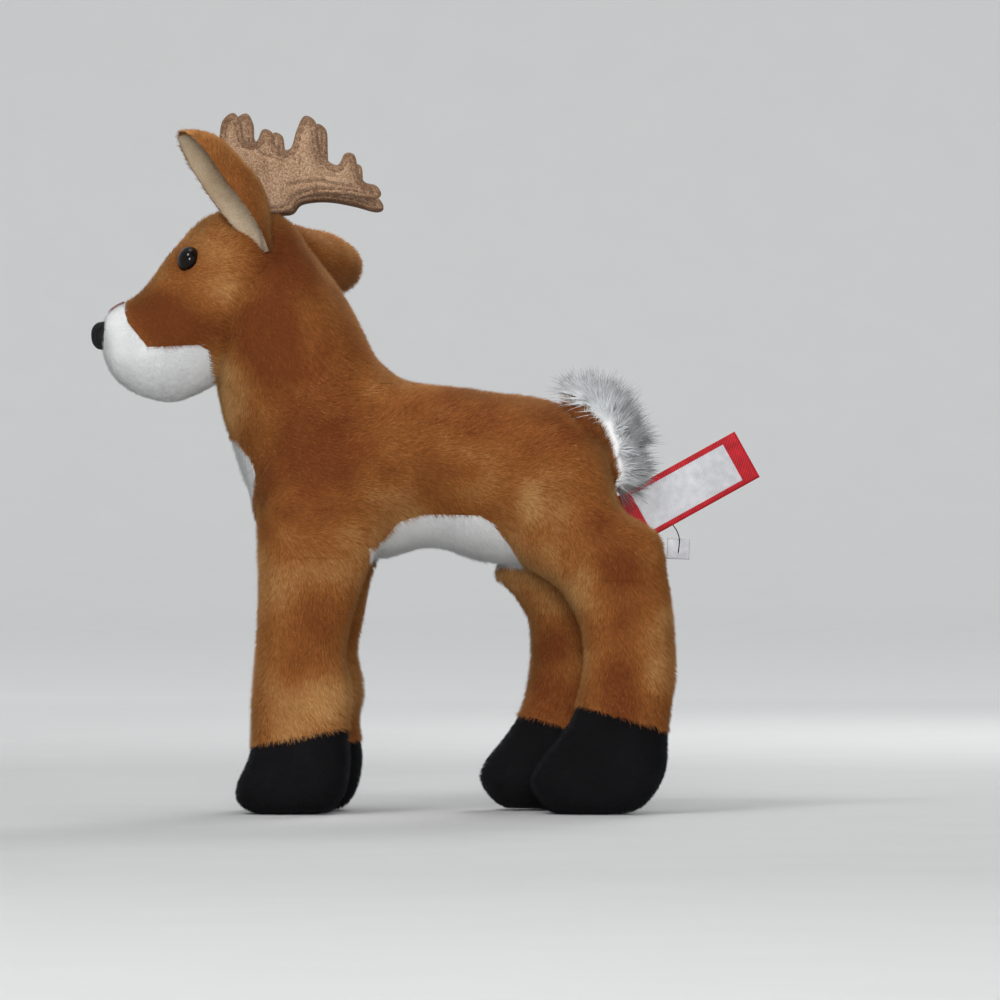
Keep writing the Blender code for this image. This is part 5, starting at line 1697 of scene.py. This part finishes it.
side_way = unit(np.column_stack([np.gradient(path_z), -np.gradient(path_y)]))
curl = LABEL_CURL * (across / (LABEL_WIDTH / 2)) ** 2


def label_side(offset):
    y = path_y[:, None] - side_way[:, :1] * offset + curl[None] * np.clip(along_label, 0, 1)[:, None]
    z = path_z[:, None] - side_way[:, 1:] * offset + 0 * curl[None]
    return np.stack([np.tile(across, (len(path_z), 1)), y, z], -1)


points, over, under, edge = slab(label_side(RIBBON / 2), label_side(-RIBBON / 2))
label_along = np.array((math.cos(LABEL_RISE), 0, math.sin(LABEL_RISE)))
label_seam = np.array((math.sin(LABEL_RISE), 0, -math.cos(LABEL_RISE)))
label_faces = np.vstack([over, under, edge])
label_points = placed(points, hinge["label_flap"], label_seam, label_along)
label = mesh_from("label_ribbon", label_points, label_faces, ribbon_red)
label.data.materials.append(satin)
cell_run = (run[:-1] + run[1:])[:, None] / 2 - LABEL_TUCK + 0 * across[None, 1:]
cell_over = np.abs(across[:-1] + across[1:])[None] / 2 + 0 * run[:-1, None]
on_panel = (cell_run > PANEL_FROM) & (cell_run < PANEL_TO) & (cell_over < LABEL_WIDTH / 2 - PANEL_MARGIN)
material_of = np.zeros(len(label_faces), int)
material_of[: len(over)][on_panel.ravel()] = 1
label.data.polygons.foreach_set("material_index", material_of)
mark(label.data, "run", np.tile(np.repeat(run, len(across)), 2))
mark(label.data, "over", np.tile(np.tile(across, len(run)), 2))
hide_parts("woven_label")
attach(label, "label")

TAB_WIDTH = 6.2 * MM
TAB_LENGTH = 6 * MM
TAB_THICKNESS = 0.4 * MM
TAB_FALL = math.radians(2)
TAB_BOW = 0.5 * MM
TAB_CURL = 0.25 * MM
u, v = np.meshgrid(np.linspace(-0.15, 1, 14), np.linspace(-1, 1, 12), indexing="ij")
tab_sides = []
for offset in (-TAB_THICKNESS / 2, TAB_THICKNESS / 2):
    bow = TAB_BOW * u * u + TAB_CURL * v * v
    tab_sides.append(np.stack([TAB_WIDTH / 2 * v, bow + offset, TAB_LENGTH * u], -1))
points, over, under, edge = slab(*tab_sides)
tab_along = np.array((math.cos(TAB_FALL), 0, -math.sin(TAB_FALL)))
tab_seam = np.array((-math.sin(TAB_FALL), 0, -math.cos(TAB_FALL)))
tab_points = placed(points, hinge["tab_flap"], tab_seam, tab_along)
tab = mesh_from("care_tab", tab_points, np.vstack([over, under, edge]), satin)
mark(tab.data, "run", points[:, 2])
mark(tab.data, "over", points[:, 0])
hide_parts("satin_tab")
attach(tab, "tab")

THREAD_END = 0.16 * MM
# Along the loose thread: back, aside from the middle and up, in millimetres
THREAD_PLACES = ((69, 2.0, 84.4), (72.2, 2.4, 86.8), (74.4, 0.6, 84.8), (75.4, -1.2, 81.6), (75, -1.3, 77.6))
thread_path = [np.array((x, 0, z)) * MM + Y_AXIS * (middle_y + y * MM) for x, y, z in eased(THREAD_PLACES, 4)]
thread_end = threads("thread_end", [thread_path], THREAD_END, nose_black, 6)
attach(thread_end, "body")

# The fillings: loose polyester fibre, pushed into each cover until it is firm. It lies in soft
# lumps, and gives way where a cover bends.
FILLING_VOXEL = 1.8 * MM
FILLING_DENT = 1.4 * MM
FILLING_CLEARANCE = 2.2 * MM
HIP_CLEARANCE = 5.5 * MM
HEAD_CLEARANCE = 7 * MM
FILLING_LUMP = 6 * MM


def kept_inside(points, tree, depths):
    """Draws what would show back under the cover, to the given depths."""
    for k, point in enumerate(points):
        near, normal, _, _ = tree.find_nearest(Vector(point))
        if (Vector(point) - near).dot(normal) > -depths[k]:
            points[k] = near - normal * depths[k]
    return points


FILLINGS = {"trunk_stuffing": "body", "neck_stuffing": "body", "head_stuffing": "head"}
for leg in LEG_DEPTH:
    for word in SIDES:
        FILLINGS[f"{leg}_{word}_stuffing"] = f"{leg}_leg_{word}"
for node, body in FILLINGS.items():
    source = bpy.data.objects[node]
    copied = source.data.copy()
    copied.transform(source.matrix_world)
    points, faces = voxel_skin(copied, FILLING_VOXEL)
    points = softened(points, faces, rounds=3, hollows=0)
    dent = FILLING_DENT * cloud(points, FILLING_LUMP, seed=95)
    points = points - skin_normals(points, faces) * dent[:, None]
    depths = np.full(len(points), FILLING_CLEARANCE)
    if "leg" in body:
        bend_low = LEG_SEAM[node[:4]] - LEG_BEND
        depths += HIP_CLEARANCE * np.clip((points[:, 2] - bend_low) / LEG_BEND, 0, 1)
    if node == "neck_stuffing":
        near_head = ((points[:, (0, 2)] - bend_line) @ seam_way) / NECK_BEND
        depths += HEAD_CLEARANCE * np.clip(near_head, 0, 1)
    points = kept_inside(points, head_tree if body == "head" else body_tree, depths)
    lump = mesh_from(f"{node}_fibre", points, faces, fibre)
    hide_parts(node)
    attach(lump, body)

# The floor and backdrop are one pale bowl round the toy, so that it looks the same from every side.
# Away from the toy it glows a little, but only to the camera and in what is glossy or clear.
STAGE_GLOW = (0.37, 0.37, 0.37, 1)
GLOW_FROM = 0.4
STAGE_SIDES = 96
STAGE_FLAT = 3.2
STAGE_CURVE = 0.8
STAGE_TOP = 3.6
STAGE_STEPS = 12
FLOOR_RADII = (0.05, 0.4, 0.8, 1.4, 2.2, STAGE_FLAT)
stage_paper, stage_shader, stage_start = new_material("stage_paper", Roughness=0.9, Emission_Strength=1)
grain = noise(stage_start, 40 * MM, 4.0)
feed(stage_start, stage_shader, Base_Color=grain.between((0.44, 0.44, 0.435, 1), (0.48, 0.48, 0.475, 1)))
from_camera, by_gloss, by_glass = (
    stage_start.node("ShaderNodeLightPath", output=f"Is {kind} Ray")
    for kind in ("Camera", "Glossy", "Transmission")
)
seen = from_camera + by_gloss + by_glass
glow = (attribute(stage_start, "far") * seen).between((0, 0, 0, 1), STAGE_GLOW)
feed(stage_start, stage_shader, Emission_Color=glow)


def stage_ring(radius, rise):
    return oval(Z_AXIS * rise, radius, radius, X_AXIS, Y_AXIS, STAGE_SIDES)


stage_rings = [stage_ring(radius, 0) for radius in FLOOR_RADII]
for k in range(1, STAGE_STEPS + 1):
    turn = math.pi / 2 * k / STAGE_STEPS
    rise = STAGE_CURVE * (1 - math.cos(turn))
    stage_rings.append(stage_ring(STAGE_FLAT + STAGE_CURVE * math.sin(turn), rise))
stage_rings.append(stage_ring(STAGE_FLAT + STAGE_CURVE, STAGE_TOP))
shape = bmesh.new()
rows = joined_rings(shape, stage_rings)
shape.faces.new(rows[0][::-1])
bmesh.ops.reverse_faces(shape, faces=shape.faces)
stage_mesh = bpy.data.meshes.new("stage")
shape.to_mesh(stage_mesh)
shape.free()
stage_mesh.shade_smooth()
stage_mesh.materials.append(stage_paper)
reaches = [math.hypot(vertex.co.x, vertex.co.y) for vertex in stage_mesh.vertices]
mark(stage_mesh, "far", np.clip(np.array(reaches) - GLOW_FROM, 0, 1))
stage = added("stage", stage_mesh)
stage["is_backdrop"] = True

# Soft studio light: a key from the upper left in front, a narrow fill from beside the camera, a
# lamp behind that catches the pile's edges, and a faint one above.
LIT_PLACE = Vector((0.01, middle_y, 0.1))
WORLD_COLOUR = (0.9, 0.95, 1.0, 1)
WORLD_STRENGTH = 0.6


def lamp(name, place, size, power, spread=math.pi):
    light = bpy.data.lights.new(name, "AREA")
    light.shape = "DISK"
    light.size = size
    light.energy = power
    light.spread = spread
    thing = added(name, light)
    thing.location = place
    thing.rotation_euler = (LIT_PLACE - Vector(place)).to_track_quat("-Z", "Y").to_euler()
    thing.visible_camera = False


lamp("key", place=(-0.55, -0.9, 1.2), size=0.5, power=11.0)
lamp("front", place=(0.05, -2.65, 0.5), size=0.9, power=2.9, spread=math.radians(40))
lamp("back", place=(0.35, 0.85, 0.65), size=0.4, power=5.0)
lamp("top", place=(0.0, 0.0, 1.1), size=0.6, power=2.0)
world = bpy.data.worlds.new("studio")
bpy.context.scene.world = world
world.use_nodes = True
background = world.node_tree.nodes["Background"]
background.inputs["Color"].default_value = WORLD_COLOUR
background.inputs["Strength"].default_value = WORLD_STRENGTH

# The camera looks square at the toy's left side, as in the photograph, from far off with a long
# lens, so that the view is nearly flat.
VIEW_WIDTH = 0.3
VIEW_DISTANCE = 2.4
VIEW_X = 0.0216
VIEW_HEIGHT = 0.0936
SENSOR_WIDTH = 36
camera_data = bpy.data.cameras.new("camera")
camera_data.sensor_width = SENSOR_WIDTH
camera_data.lens = SENSOR_WIDTH * VIEW_DISTANCE / VIEW_WIDTH
camera = added("camera", camera_data)
camera.location = (VIEW_X, middle_y - VIEW_DISTANCE, VIEW_HEIGHT)
camera.rotation_euler = (math.pi / 2, 0, 0)
bpy.context.scene.camera = camera
bpy.context.scene.view_settings.view_transform = "Standard"

low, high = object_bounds()
